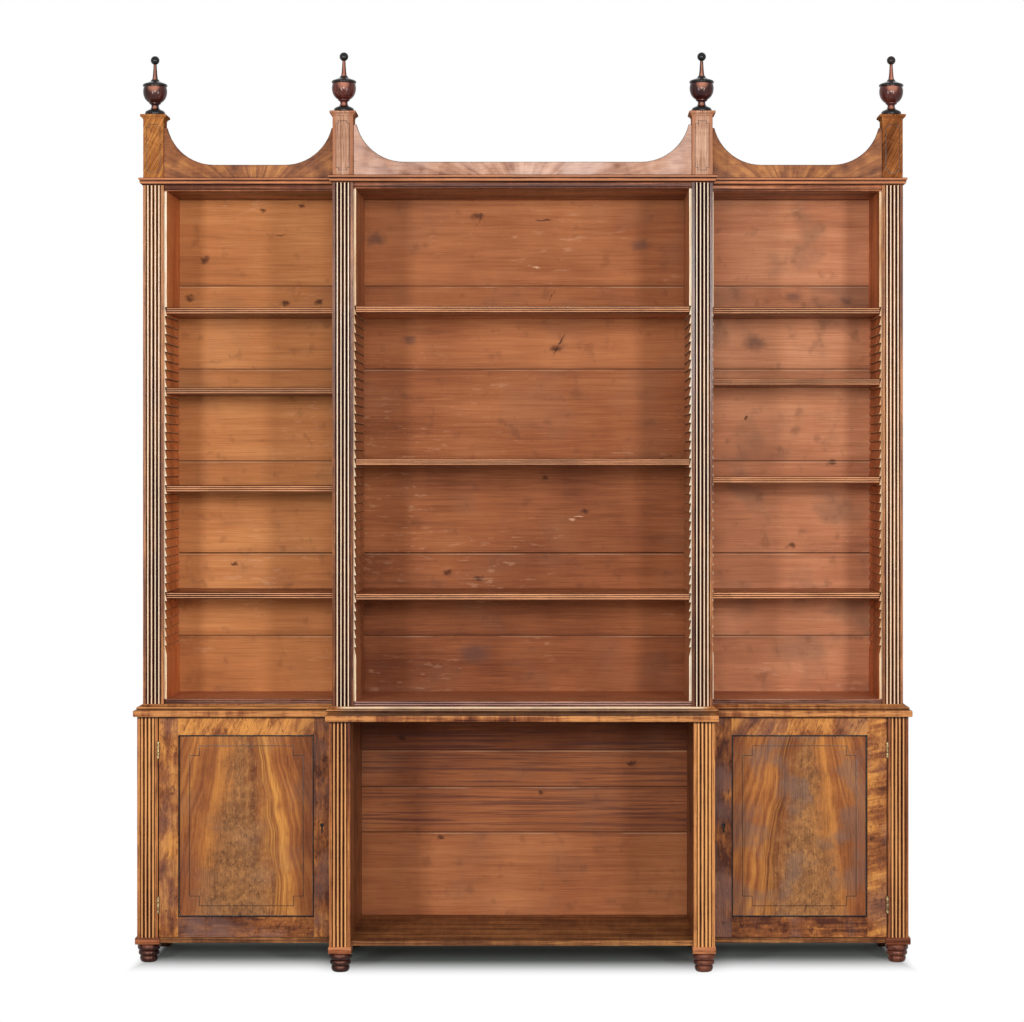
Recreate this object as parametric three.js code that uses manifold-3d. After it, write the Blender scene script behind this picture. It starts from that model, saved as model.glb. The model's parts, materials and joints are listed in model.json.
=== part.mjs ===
// A breakfront bookcase in mahogany and pine, at real size in millimetres.
// A low base has a cupboard at each side and an open middle bay that stands forward.
// A tall open upper case sits on it, with toothed sides that carry movable shelves.
// Swept panels, square pedestals and turned urns make the crest.
// X runs to the right, Y to the back and Z up. The origin is on the floor, under the middle.

import * as THREE from 'three';
import { mergeVertices } from 'three/addons/utils/BufferGeometryUtils.js';
import Module from 'manifold-3d';

const wasm = await Module();
wasm.setup();

// Widths, from the centre line to one side
const BASE_HALF_WIDTH = 1152;
const UPPER_INSET = 12;
const UPPER_HALF_WIDTH = BASE_HALF_WIDTH - UPPER_INSET;
const BREAK_HALF_WIDTH = 565;
const PILASTER_WIDTH = 62;

// Depths: the wings of the upper case, then how far each part steps forward of them
const UPPER_WING_DEPTH = 297;
const UPPER_BREAK = 80;
const BASE_STEP = 35;
const BASE_BREAK = 157;
const TOP_OVERHANG = 11;
const UPPER_CENTRE_DEPTH = UPPER_WING_DEPTH + UPPER_BREAK;
const BASE_WING_DEPTH = UPPER_WING_DEPTH + BASE_STEP;
const BASE_CENTRE_DEPTH = BASE_WING_DEPTH + BASE_BREAK;
const BACK_Y = (BASE_CENTRE_DEPTH + TOP_OVERHANG) / 2;

// Heights of the base, from the floor up
const FOOT_HEIGHT = 56;
const FOOT_BLOCK_HEIGHT = 20;
const BASE_BOARD = 15;
const BASE_BODY_HEIGHT = 660;
const BASE_TOP_BOARD = 19;
const BODY_Z = FOOT_HEIGHT + FOOT_BLOCK_HEIGHT;
const BASE_FLOOR_Z = BODY_Z + BASE_BOARD;
const BASE_TOP_Z = BODY_Z + BASE_BODY_HEIGHT;
const WAIST_Z = BASE_TOP_Z + BASE_TOP_BOARD;

// Heights of the upper case
const UPPER_BODY_HEIGHT = 1572;
const UPPER_FLOOR_BOARD = 30;
const UPPER_TOP_BOARD = 17;
const CORNICE_HEIGHT = 22;
const UPPER_FLOOR_Z = WAIST_Z + UPPER_FLOOR_BOARD;
const CORNICE_Z = WAIST_Z + UPPER_BODY_HEIGHT;
const UPPER_CEILING_Z = CORNICE_Z - UPPER_TOP_BOARD;
const CREST_Z = CORNICE_Z + CORNICE_HEIGHT;

// Joinery
const BACK_THICKNESS = 12;
const BACK_REBATE = 11;
const BASE_END_THICKNESS = 22;
const BASE_DIVISION_SETBACK = 2;
const CLEARANCE = 0.3;
const OVERCUT = 1;

// Reeded pilasters
const PILASTER_THICKNESS = 22;
const REED_COUNT = 4;
const REED_DEPTH = 5;
const REED_FILLET = 9;
const REED_STEPS = 6;

// Toothed linings that carry the shelves
const LINING_REVEAL = 7.5;
const LINING_SETBACK = 12;
const TOOTH_DEPTH = 6;
const TOOTH_PITCH = 26.75;
const TOOTH_COUNT = 39;
const PLAIN_HEIGHT_BELOW_TEETH = 133.75;
const FIRST_TOOTH_Z = UPPER_FLOOR_Z + PLAIN_HEIGHT_BELOW_TEETH;

// Shelves, each named by the notch that it sits in, counted from the bottom
const SHELF_THICKNESS = 19;
const SHELF_SETBACK = 16;
const SHELF_BACK_GAP = 1;
const SHELF_HEADROOM = 1;
const SHELF_NOTCHES = { left: [6, 18, 29, 38], centre: [6, 21, 38], right: [6, 19, 30, 38] };

// Beaded front edges
const BEAD_COUNT = 3;
const BEAD_STEPS = 5;
const BEAD_HEIGHT = 6;
const BEAD_DEPTH = 2.6;
const FLOOR_SETBACK = 10;
const TOP_SETBACK = 8;

// Doors
const DOOR_THICKNESS = 22;
const DOOR_SETBACK = 2;
const DOOR_FREE_GAP = 2;
const DOOR_HINGE_GAP = 3.2;
const DOOR_TOP_GAP = 2;
const DOOR_BOTTOM_GAP = 1.5;
const DOOR_STILE = 57;
const DOOR_TOP_RAIL = 53;
const DOOR_BOTTOM_RAIL = 59;
const PANEL_SETBACK = 9;
const PANEL_THICKNESS = 11;
const PANEL_REBATE = 10;
const PANEL_CLEARANCE = 0.4;
const KEYHOLE_FROM_EDGE = 33;
const KEYHOLE_ABOVE_MIDDLE = 6;
const KEYHOLE_RADIUS = 6;
const KEYHOLE_SLOT_WIDTH = 5;
const KEYHOLE_SLOT_LENGTH = 23;
const KEYHOLE_DEPTH = 13;

// Butt hinges
const HINGE_HEIGHT = 50;
const HINGE_INSET = 97;
const HINGE_RADIUS = 4;
const HINGE_BARRELS = 5;
const HINGE_PIN_RADIUS = 1.7;
const HINGE_BORE_RADIUS = 2.1;
const HINGE_LEAF = 1.3;
const HINGE_LEAF_INSET = 18;
const HINGE_SIDES = 12;

// Rails and feet
const RAIL_HEIGHT = 16;
const RAIL_SETBACK = 1;
const RAIL_DEPTH = 46;
const REAR_FOOT_SIZE = 58;
const OUTER_FOOT_BLOCK_SIZE = 74;
const INNER_FOOT_BLOCK_SIZE = 67;
const FOOT_TENON = 1;
const TURNING_SIDES = 16;

// Crest
const PEDESTAL_WIDTH = 61;
const PEDESTAL_DEPTH = 72;
const PEDESTAL_HEIGHT = 191;
const PEDESTAL_CAP_HEIGHT = 15;
const PEDESTAL_CAP_PROJECTION = 8.5;
const CREST_PANEL_THICKNESS = 18;
const CREST_PANEL_SETBACK = 5;
const CREST_FLAT_HEIGHT = 40;
const CREST_EAR_WIDTH = 10;
const CREST_RISE = 111;
const CREST_SWEEP_RADIUS = 145;
const CREST_SWEEP_STEPS = 12;
const CREST_LAP = 35;

// Mouldings: how far each level stands out from the case, and how high it is
const BASE_TOP_EDGE = [[-2.5, 0], [-0.7, 1], [0, 3], [0, 16], [-0.7, 18], [-2.5, 19]];
const WAIST_PROFILE = [
  [15.5, 0], [17.5, 2], [18, 4.5], [16.5, 7.5], [12.5, 9], [9.5, 10], [5, 13], [2, 16],
];
const CORNICE_PROFILE = [
  [2, 0], [3.4, 1.8], [6.4, 4], [8.8, 7.2], [9.5, 10.6], [8.8, 13.6], [8.6, 14.8],
  [11.7, 15.8], [12.3, 16.8], [12.3, 21.2], [11.6, 22],
];
const CAP_PROFILE = [[0, 0], [0.15, 0.12], [0.35, 0.32], [0.75, 0.5], [1, 0.56], [1, 0.94], [0.9, 1]];

// Turned profiles: radius and height of each point, from the bottom up
const FOOT_PROFILE = [
  [19, 0], [23, 1.5], [26, 6], [27, 11], [26.5, 15.5], [24.5, 19],
  [29, 20.5], [31, 24.5], [31, 29.5], [29.3, 33], [27, 34.5],
  [31.7, 36], [33.8, 40.5], [34, 47], [32, 51], [30, 53],
];
const FINIAL_PROFILE = [
  [28.5, 0], [30, 3.5], [30, 9], [28, 13], [22, 16.5], [15, 19.5], [11.8, 24], [11, 29], [12.5, 33],
  [16.8, 35], [17, 37.5], [19.5, 40], [25, 44], [30.3, 50.5], [34, 58.5], [35.9, 67], [36, 76],
  [34.6, 83], [33, 86.5], [36.7, 88], [36.7, 93.5], [33, 96.5], [22, 99.5],
  [13.5, 103.5], [12, 106], [8.8, 109], [7.5, 114], [6, 130], [4.8, 154.5],
];
const FINIAL_BALL_RADIUS = 13.2;
const FINIAL_BALL_STEPS = 7;

// Cuts in the backs: heights of the board joints above the foot of each back. One of them has
// shrunk open, from near the left end of the boards to a place along x.
const UPPER_JOINTS = [204, 460, 746, 1031, 1289];
const BASE_JOINTS = [272, 413, 527];
const JOINT_WIDTH = 3;
const JOINT_DEPTH = 2.5;
const OPEN_JOINT_HEIGHT = UPPER_JOINTS[1];
const OPEN_JOINT_WIDTH = 2.2;
const OPEN_JOINT_FROM_END = 89;
const OPEN_JOINT_STOP_X = 480;

// Colours
const MAHOGANY = 0x8a4a24;
const FIGURED = 0x9c5526;
const PINE = 0xa8653a;
const EBONISED = 0x3a211c;
const BRASS = 0x9a7b45;

const model = new THREE.Group();

// Adds one named piece with a material of its own
function piece(name, shape, colour, roughness = 0.45, metalness = 0) {
  const geometry = shape.isBufferGeometry ? shape : geometryOf(shape);
  const material = new THREE.MeshStandardMaterial({ color: colour, roughness, metalness, flatShading: true });
  const mesh = new THREE.Mesh(geometry, material);
  mesh.name = name;
  model.add(mesh);
  return mesh;
}

// Turns a closed geometry into a solid that can be cut and joined
function solidOf(geometry) {
  const bare = geometry.clone();
  bare.deleteAttribute('normal');
  bare.deleteAttribute('uv');
  const welded = mergeVertices(bare);
  return new wasm.Manifold(new wasm.Mesh({
    numProp: 3,
    vertProperties: new Float32Array(welded.attributes.position.array),
    triVerts: new Uint32Array(welded.index.array),
  }));
}

function geometryOf(solid) {
  const mesh = solid.getMesh();
  const geometry = new THREE.BufferGeometry();
  geometry.setAttribute('position', new THREE.BufferAttribute(mesh.vertProperties, 3));
  geometry.setIndex(new THREE.BufferAttribute(mesh.triVerts, 1));
  geometry.computeVertexNormals();
  return geometry;
}

function join(...geometries) {
  return geometries.map(solidOf).reduce((whole, part) => whole.add(part));
}

// A rectangular block between two corners, given in any order
function block([x0, x1], [y0, y1], [z0, z1]) {
  const geometry = new THREE.BoxGeometry(Math.abs(x1 - x0), Math.abs(y1 - y0), Math.abs(z1 - z0));
  return geometry.translate((x0 + x1) / 2, (y0 + y1) / 2, (z0 + z1) / 2);
}

// A flat shape that runs anticlockwise, whichever way its points come
function shapeFrom(points, holes = []) {
  const ring = points.map(([u, v]) => new THREE.Vector2(u, v));
  if (THREE.ShapeUtils.isClockWise(ring)) ring.reverse();
  const shape = new THREE.Shape(ring);
  shape.holes = holes.map((hole) => new THREE.Path(hole.map(([u, v]) => new THREE.Vector2(u, v))));
  return shape;
}

function extrusion(shape, length) {
  return new THREE.ExtrudeGeometry(shape, { depth: length, bevelEnabled: false, steps: 1 });
}

// Extrudes an outline of x and y points upwards
function extrudeZ(points, [z0, z1]) {
  return extrusion(shapeFrom(points), z1 - z0).translate(0, 0, z0);
}

// Extrudes an outline of y and z points along x
function extrudeX(points, [x0, x1]) {
  const turn = new THREE.Matrix4().makeBasis(
    new THREE.Vector3(0, 1, 0), new THREE.Vector3(0, 0, 1), new THREE.Vector3(1, 0, 0));
  return extrusion(shapeFrom(points), x1 - x0).applyMatrix4(turn).translate(x0, 0, 0);
}

// Extrudes an outline of x and z points along y, with holes if there are any
function extrudeY(points, [y0, y1], holes = []) {
  const swap = ([x, z]) => [z, x];
  const turn = new THREE.Matrix4().makeBasis(
    new THREE.Vector3(0, 0, 1), new THREE.Vector3(1, 0, 0), new THREE.Vector3(0, 1, 0));
  const shape = shapeFrom(points.map(swap), holes.map((hole) => hole.map(swap)));
  return extrusion(shape, y1 - y0).applyMatrix4(turn).translate(0, y0, 0);
}

// Stands rings of points on each other; every ring has as many points and turns anticlockwise
function stack(levels) {
  const count = levels[0].points.length;
  const positions = levels.flatMap(({ points, z }) => points.flatMap(([x, y]) => [x, y, z]));
  const index = [];
  for (let level = 0; level < levels.length - 1; level += 1) {
    for (let i = 0; i < count; i += 1) {
      const a = level * count + i;
      const b = level * count + (i + 1) % count;
      index.push(a, b, b + count, a, b + count, a + count);
    }
  }
  const topStart = (levels.length - 1) * count;
  const contour = levels[0].points.map(([x, y]) => new THREE.Vector2(x, y));
  for (const [a, b, c] of THREE.ShapeUtils.triangulateShape(contour, [])) {
    index.push(c, b, a, topStart + a, topStart + b, topStart + c);
  }
  const geometry = new THREE.BufferGeometry();
  geometry.setAttribute('position', new THREE.Float32BufferAttribute(positions, 3));
  geometry.setIndex(index);
  geometry.computeVertexNormals();
  return geometry;
}

// Turns a profile of radius and height points round an upright axis at x, y
function turned(profile, [x, y], z) {
  const top = profile[profile.length - 1];
  const points = [[0, profile[0][1]], ...profile];
  if (top[0] > 0) points.push([0, top[1]]);
  const lathe = new THREE.LatheGeometry(points.map(([r, h]) => new THREE.Vector2(r, h)), TURNING_SIDES);
  return lathe.rotateX(Math.PI / 2).translate(x, y, z);
}

// The y of a face that stands a given depth in front of the back
const frontAt = (depth) => BACK_Y - depth;

// The breakfront outline of a case, grown outwards by an offset on every side but the back
function breakfront(halfWidth, wingDepth, centreDepth, grow = 0) {
  const outer = halfWidth + grow;
  const inner = BREAK_HALF_WIDTH + grow;
  const wing = frontAt(wingDepth + grow);
  const centre = frontAt(centreDepth + grow);
  return [
    [-outer, BACK_Y], [-outer, wing], [-inner, wing], [-inner, centre],
    [inner, centre], [inner, wing], [outer, wing], [outer, BACK_Y],
  ];
}

// The inner face of a back, and the depths at which the pilasters stand
const INNER_BACK_Y = frontAt(BACK_THICKNESS);
const PILASTER_PLACES = [
  { name: 'outer_left', side: -1, outer: true },
  { name: 'inner_left', side: -1, outer: false },
  { name: 'inner_right', side: 1, outer: false },
  { name: 'outer_right', side: 1, outer: true },
];
const SIDES = [{ name: 'left', side: -1 }, { name: 'right', side: 1 }];

// The outer face of a pilaster at each place of the base or the upper case
const baseEdge = (outer) => (outer ? BASE_HALF_WIDTH : BREAK_HALF_WIDTH);
const upperEdge = (outer) => (outer ? UPPER_HALF_WIDTH : BREAK_HALF_WIDTH);
const baseDepth = (outer) => (outer ? BASE_WING_DEPTH : BASE_CENTRE_DEPTH);
const upperDepth = (outer) => (outer ? UPPER_WING_DEPTH : UPPER_CENTRE_DEPTH);

// A pilaster's plan: reeds side by side between two flat fillets
function reededPlan(middle, front) {
  const left = middle - PILASTER_WIDTH / 2;
  const pitch = (PILASTER_WIDTH - 2 * REED_FILLET) / REED_COUNT;
  const plan = [[left, front + PILASTER_THICKNESS], [left, front], [left + REED_FILLET, front]];
  for (let reed = 0; reed < REED_COUNT; reed += 1) {
    const centre = left + REED_FILLET + pitch * (reed + 0.5);
    for (let step = reed ? 1 : 0; step <= REED_STEPS; step += 1) {
      const angle = Math.PI * step / REED_STEPS;
      plan.push([centre - Math.cos(angle) * pitch / 2, front + REED_DEPTH * (1 - Math.sin(angle))]);
    }
  }
  plan.push([left + PILASTER_WIDTH - REED_FILLET, front], [left + PILASTER_WIDTH, front]);
  plan.push([left + PILASTER_WIDTH, front + PILASTER_THICKNESS]);
  return plan;
}

function makePilasters() {
  for (const { name, side, outer } of PILASTER_PLACES) {
    const baseMiddle = side * (baseEdge(outer) - PILASTER_WIDTH / 2);
    const basePlan = reededPlan(baseMiddle, frontAt(baseDepth(outer)));
    piece(`base_pilaster_${name}`, extrudeZ(basePlan, [BODY_Z, BASE_TOP_Z]), MAHOGANY);
    const upperMiddle = side * (upperEdge(outer) - PILASTER_WIDTH / 2);
    const upperPlan = reededPlan(upperMiddle, frontAt(upperDepth(outer)));
    piece(`upper_pilaster_${name}`, extrudeZ(upperPlan, [WAIST_Z, CORNICE_Z]), MAHOGANY);
  }
}

// A turned foot under a square block, both under one pilaster
function makeFeet() {
  for (const { name, side, outer } of PILASTER_PLACES) {
    const x = side * (baseEdge(outer) - PILASTER_WIDTH / 2);
    const half = (outer ? OUTER_FOOT_BLOCK_SIZE : INNER_FOOT_BLOCK_SIZE) / 2;
    const overhang = half - PILASTER_WIDTH / 2;
    const y = frontAt(baseDepth(outer) + overhang) + half;
    const stretch = (FOOT_HEIGHT + FOOT_TENON) / FOOT_PROFILE[FOOT_PROFILE.length - 1][1];
    const profile = FOOT_PROFILE.map(([r, h]) => [r, h * stretch]);
    const cube = block([x - half, x + half], [y - half, y + half], [FOOT_HEIGHT, BODY_Z]);
    piece(`foot_${name}`, join(turned(profile, [x, y], 0), cube), MAHOGANY, 0.35);
  }
}

// The bottom board of the base, with the rails glued under it and the plain rear feet
function makeBaseBottom() {
  const wingFront = BASE_WING_DEPTH - DOOR_SETBACK - DOOR_THICKNESS - CLEARANCE;
  const centreFront = BASE_CENTRE_DEPTH - PILASTER_THICKNESS;
  const inside = BASE_HALF_WIDTH - BASE_END_THICKNESS;
  const outline = breakfront(inside, wingFront, centreFront);
  outline[0][1] = INNER_BACK_Y;
  outline[outline.length - 1][1] = INNER_BACK_Y;
  const parts = [extrudeZ(outline, [BODY_Z, BASE_FLOOR_Z])];
  const railHeights = [BODY_Z - RAIL_HEIGHT, BODY_Z];
  const railFront = frontAt(BASE_WING_DEPTH - RAIL_SETBACK);
  const railDepths = [railFront, railFront + RAIL_DEPTH];
  const blockOverhang = (OUTER_FOOT_BLOCK_SIZE - PILASTER_WIDTH) / 2;
  const blockInner = BASE_HALF_WIDTH + blockOverhang - OUTER_FOOT_BLOCK_SIZE;
  const blockRear = frontAt(BASE_WING_DEPTH + blockOverhang) + OUTER_FOOT_BLOCK_SIZE;
  const railInner = BREAK_HALF_WIDTH - PILASTER_WIDTH / 2;
  const sideRail = [BASE_HALF_WIDTH - 2 * BASE_END_THICKNESS, BASE_HALF_WIDTH];
  const rearFeet = [BASE_HALF_WIDTH - REAR_FOOT_SIZE / 2, BREAK_HALF_WIDTH - PILASTER_WIDTH / 2];
  const rearFootY = [BACK_Y - REAR_FOOT_SIZE, BACK_Y];
  for (const { side } of SIDES) {
    const mirror = (range) => range.map((x) => side * x);
    parts.push(block(mirror([railInner, blockInner - CLEARANCE]), railDepths, railHeights));
    parts.push(block(mirror(sideRail), [blockRear + CLEARANCE, BACK_Y], railHeights));
    for (const middle of rearFeet) {
      const across = [middle - REAR_FOOT_SIZE / 2, middle + REAR_FOOT_SIZE / 2];
      parts.push(block(mirror(across), rearFootY, [0, BODY_Z]));
    }
  }
  piece('base_bottom_board', join(...parts), PINE, 0.6);
}

// A breakfront board whose edge follows a moulding profile
function mouldedBoard(halfWidth, wingDepth, centreDepth, profile, z) {
  return stack(profile.map(([grow, height]) => (
    { points: breakfront(halfWidth, wingDepth, centreDepth, grow), z: z + height })));
}

// Fits the heights of a profile to a new overall height
function fitted(profile, height) {
  const full = profile[profile.length - 1][1];
  return profile.map(([grow, z]) => [grow, z * height / full]);
}

// The top of the base, with the moulding that keeps the upper case in its place
function makeBaseTop() {
  const edge = fitted(BASE_TOP_EDGE, BASE_TOP_BOARD).map(([grow, z]) => [TOP_OVERHANG + grow, z]);
  const board = mouldedBoard(BASE_HALF_WIDTH, BASE_WING_DEPTH, BASE_CENTRE_DEPTH, edge, BASE_TOP_Z);
  const rim = mouldedBoard(UPPER_HALF_WIDTH, UPPER_WING_DEPTH, UPPER_CENTRE_DEPTH, WAIST_PROFILE, WAIST_Z);
  const seat = breakfront(UPPER_HALF_WIDTH, UPPER_WING_DEPTH, UPPER_CENTRE_DEPTH, CLEARANCE);
  seat[0][1] += TOP_OVERHANG;
  seat[seat.length - 1][1] += TOP_OVERHANG;
  const well = extrudeZ(seat, [WAIST_Z, WAIST_Z + BASE_TOP_BOARD + UPPER_FLOOR_BOARD]);
  piece('base_top_board', solidOf(board).add(solidOf(rim).subtract(solidOf(well))), MAHOGANY, 0.4);
}

// The ends of the base, rebated at the back for the back boards
function makeBaseEnds() {
  for (const { name, side } of SIDES) {
    const outer = BASE_HALF_WIDTH;
    const inner = BASE_HALF_WIDTH - BASE_END_THICKNESS;
    const front = frontAt(BASE_WING_DEPTH - PILASTER_THICKNESS);
    const plan = [
      [inner, front], [outer, front], [outer, BACK_Y], [inner + BACK_REBATE, BACK_Y],
      [inner + BACK_REBATE, INNER_BACK_Y], [inner, INNER_BACK_Y],
    ];
    piece(`base_end_${name}`, extrudeZ(plan.map(([x, y]) => [side * x, y]), [BODY_Z, BASE_TOP_Z]), MAHOGANY);
  }
}

// The divisions between the cupboards and the open middle bay
function makeBaseDivisions() {
  for (const { name, side } of SIDES) {
    const inner = BREAK_HALF_WIDTH - PILASTER_WIDTH + BASE_DIVISION_SETBACK;
    const front = frontAt(BASE_CENTRE_DEPTH - PILASTER_THICKNESS);
    const across = [side * inner, side * BREAK_HALF_WIDTH];
    const division = block(across, [front, INNER_BACK_Y], [BASE_FLOOR_Z, BASE_TOP_Z]);
    piece(`base_division_${name}`, division, PINE, 0.55);
  }
}

// Back boards with grooved joints, as a solid
function backBoards(halfWidth, [z0, z1], joints) {
  let back = solidOf(block([-halfWidth, halfWidth], [INNER_BACK_Y, BACK_Y], [z0, z1]));
  for (const height of joints) {
    const z = [z0 + height - JOINT_WIDTH / 2, z0 + height + JOINT_WIDTH / 2];
    const across = [-halfWidth - OVERCUT, halfWidth + OVERCUT];
    back = back.subtract(solidOf(block(across, [INNER_BACK_Y - OVERCUT, INNER_BACK_Y + JOINT_DEPTH], z)));
  }
  return back;
}

function makeBaseBack() {
  const halfWidth = BASE_HALF_WIDTH - BASE_END_THICKNESS + BACK_REBATE;
  piece('base_back_boards', backBoards(halfWidth, [BODY_Z, BASE_TOP_Z], BASE_JOINTS), PINE, 0.7);
}

// The upper back, with one joint cut right through where the boards have shrunk apart
function makeUpperBack() {
  const halfWidth = UPPER_HALF_WIDTH - BACK_REBATE;
  const back = backBoards(halfWidth, [WAIST_Z, CORNICE_Z], UPPER_JOINTS);
  const middle = WAIST_Z + OPEN_JOINT_HEIGHT;
  const z = [middle - OPEN_JOINT_WIDTH / 2, middle + OPEN_JOINT_WIDTH / 2];
  const x = [OPEN_JOINT_FROM_END - halfWidth, OPEN_JOINT_STOP_X];
  const gap = block(x, [INNER_BACK_Y - OVERCUT, BACK_Y + OVERCUT], z);
  piece('upper_back_boards', back.subtract(solidOf(gap)), PINE, 0.7);
}

// The toothed face of a lining, from the bottom up: each tooth widens downwards to a level underside
function toothedFace(plainX, inward) {
  const tip = plainX + inward * LINING_REVEAL;
  const root = tip - inward * TOOTH_DEPTH;
  const face = [[tip, UPPER_FLOOR_Z], [tip, FIRST_TOOTH_Z]];
  for (let tooth = 1; tooth <= TOOTH_COUNT; tooth += 1) {
    const underside = FIRST_TOOTH_Z + tooth * TOOTH_PITCH;
    face.push([root, underside], [tip, underside]);
  }
  face.push([tip, UPPER_CEILING_Z]);
  return face;
}

// A lining board that is planted on a side of a bay, toothed on the face that looks inward
function lining(plainX, inward, depth) {
  const outline = [[plainX, UPPER_FLOOR_Z], ...toothedFace(plainX, inward), [plainX, UPPER_CEILING_Z]];
  return extrudeY(outline, [frontAt(depth - LINING_SETBACK), INNER_BACK_Y]);
}

// The ends of the upper case: a built-up core with a toothed lining, rebated for the back boards
function makeUpperEnds() {
  for (const { name, side } of SIDES) {
    const outer = UPPER_HALF_WIDTH;
    const inner = UPPER_HALF_WIDTH - PILASTER_WIDTH;
    const front = frontAt(UPPER_WING_DEPTH - PILASTER_THICKNESS);
    const rebate = outer - BACK_REBATE;
    const plan = [
      [inner, front], [outer, front], [outer, BACK_Y], [rebate, BACK_Y],
      [rebate, INNER_BACK_Y], [inner, INNER_BACK_Y],
    ];
    const core = extrudeZ(plan.map(([x, y]) => [side * x, y]), [WAIST_Z, CORNICE_Z]);
    piece(`upper_end_${name}`, join(core, lining(side * inner, -side, UPPER_WING_DEPTH)), MAHOGANY);
  }
}

// The divisions of the upper case, toothed towards the wing and towards the middle bay
function makeUpperDivisions() {
  for (const { name, side } of SIDES) {
    const inner = BREAK_HALF_WIDTH - PILASTER_WIDTH;
    const across = [side * inner, side * BREAK_HALF_WIDTH];
    const front = frontAt(UPPER_CENTRE_DEPTH - PILASTER_THICKNESS);
    const core = block(across, [front, INNER_BACK_Y], [UPPER_FLOOR_Z, UPPER_CEILING_Z]);
    const middleLining = lining(side * inner, -side, UPPER_CENTRE_DEPTH);
    const wingLining = lining(side * BREAK_HALF_WIDTH, side, UPPER_WING_DEPTH);
    piece(`upper_division_${name}`, join(core, middleLining, wingLining), MAHOGANY);
  }
}

// The beaded front edge of a board: beads of one height, one above another, as y and z points
function beadedEdge(front, z0, count) {
  const edge = [];
  for (let bead = 0; bead < count; bead += 1) {
    for (let step = bead ? 1 : 0; step <= BEAD_STEPS; step += 1) {
      const angle = Math.PI * step / BEAD_STEPS;
      const z = z0 + BEAD_HEIGHT * (bead + 0.5 - Math.cos(angle) / 2);
      edge.push([front + BEAD_DEPTH * (1 - Math.sin(angle)), z]);
    }
  }
  return edge;
}

// A board of the upper case between its ends, with a beaded strip along the front of each bay
function bayBoard([z0, z1], setback, beadZ, beads) {
  const inside = UPPER_HALF_WIDTH - PILASTER_WIDTH;
  const middle = BREAK_HALF_WIDTH - PILASTER_WIDTH;
  const stripBack = BEAD_DEPTH + PILASTER_THICKNESS;
  const wingDepth = UPPER_WING_DEPTH - setback - stripBack;
  const outline = breakfront(inside, wingDepth, UPPER_CENTRE_DEPTH - PILASTER_THICKNESS);
  outline[0][1] = INNER_BACK_Y;
  outline[outline.length - 1][1] = INNER_BACK_Y;
  const strip = (depth, across) => {
    const front = frontAt(depth - setback);
    const beadTop = beadZ + beads * BEAD_HEIGHT;
    const profile = [[front + stripBack, z0]];
    if (beadZ > z0) profile.push([front + BEAD_DEPTH, z0]);
    profile.push(...beadedEdge(front, beadZ, beads));
    if (z1 > beadTop) profile.push([front + BEAD_DEPTH, z1]);
    profile.push([front + stripBack, z1]);
    return extrudeX(profile, across);
  };
  return join(
    extrudeZ(outline, [z0, z1]),
    strip(UPPER_CENTRE_DEPTH, [-middle, middle]),
    strip(UPPER_WING_DEPTH, [-inside, -BREAK_HALF_WIDTH]),
    strip(UPPER_WING_DEPTH, [BREAK_HALF_WIDTH, inside]),
  );
}

function makeUpperBoards() {
  const beadFoot = UPPER_FLOOR_Z - BEAD_COUNT * BEAD_HEIGHT;
  const floor = bayBoard([WAIST_Z, UPPER_FLOOR_Z], FLOOR_SETBACK, beadFoot, BEAD_COUNT);
  piece('upper_bottom_board', floor, MAHOGANY);
  const board = bayBoard([UPPER_CEILING_Z, CORNICE_Z], TOP_SETBACK, UPPER_CEILING_Z, 1);
  const profile = fitted(CORNICE_PROFILE, CORNICE_HEIGHT);
  const cornice = mouldedBoard(UPPER_HALF_WIDTH, UPPER_WING_DEPTH, UPPER_CENTRE_DEPTH, profile, CORNICE_Z);
  piece('upper_top_and_cornice', board.add(solidOf(cornice)), MAHOGANY);
}

// A shelf: its square ends sit between the slopes of the teeth, with its top under the teeth above
function makeShelves() {
  const seatRise = TOOTH_PITCH - SHELF_HEADROOM - SHELF_THICKNESS;
  const seatReveal = LINING_REVEAL - TOOTH_DEPTH * seatRise / TOOTH_PITCH;
  const endGap = seatReveal + CLEARANCE;
  const wing = [BREAK_HALF_WIDTH + endGap, UPPER_HALF_WIDTH - PILASTER_WIDTH - endGap];
  const middle = BREAK_HALF_WIDTH - PILASTER_WIDTH - endGap;
  const bays = {
    left: { across: [-wing[1], -wing[0]], depth: UPPER_WING_DEPTH },
    centre: { across: [-middle, middle], depth: UPPER_CENTRE_DEPTH },
    right: { across: wing, depth: UPPER_WING_DEPTH },
  };
  for (const [bay, { across, depth }] of Object.entries(bays)) {
    SHELF_NOTCHES[bay].forEach((notch, number) => {
      const bottom = FIRST_TOOTH_Z + notch * TOOTH_PITCH + seatRise;
      const front = frontAt(depth - SHELF_SETBACK);
      const back = INNER_BACK_Y - SHELF_BACK_GAP;
      const lip = (SHELF_THICKNESS - BEAD_COUNT * BEAD_HEIGHT) / 2;
      const profile = [
        [back, bottom], [front + BEAD_DEPTH, bottom],
        ...beadedEdge(front, bottom + lip, BEAD_COUNT),
        [front + BEAD_DEPTH, bottom + SHELF_THICKNESS], [back, bottom + SHELF_THICKNESS],
      ];
      piece(`shelf_${bay}_${number + 1}`, extrudeX(profile, across), MAHOGANY, 0.5);
    });
  }
}

// The span of a door between its hinge edge and its free edge, and between its foot and its head
const DOOR_HINGE_X = BASE_HALF_WIDTH - PILASTER_WIDTH - DOOR_HINGE_GAP;
const DOOR_FREE_X = BREAK_HALF_WIDTH + DOOR_FREE_GAP;
const DOOR_BOTTOM_Z = BODY_Z + DOOR_BOTTOM_GAP;
const DOOR_TOP_Z = BASE_TOP_Z - DOOR_TOP_GAP;
const DOOR_FRONT_Y = frontAt(BASE_WING_DEPTH - DOOR_SETBACK);

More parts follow.
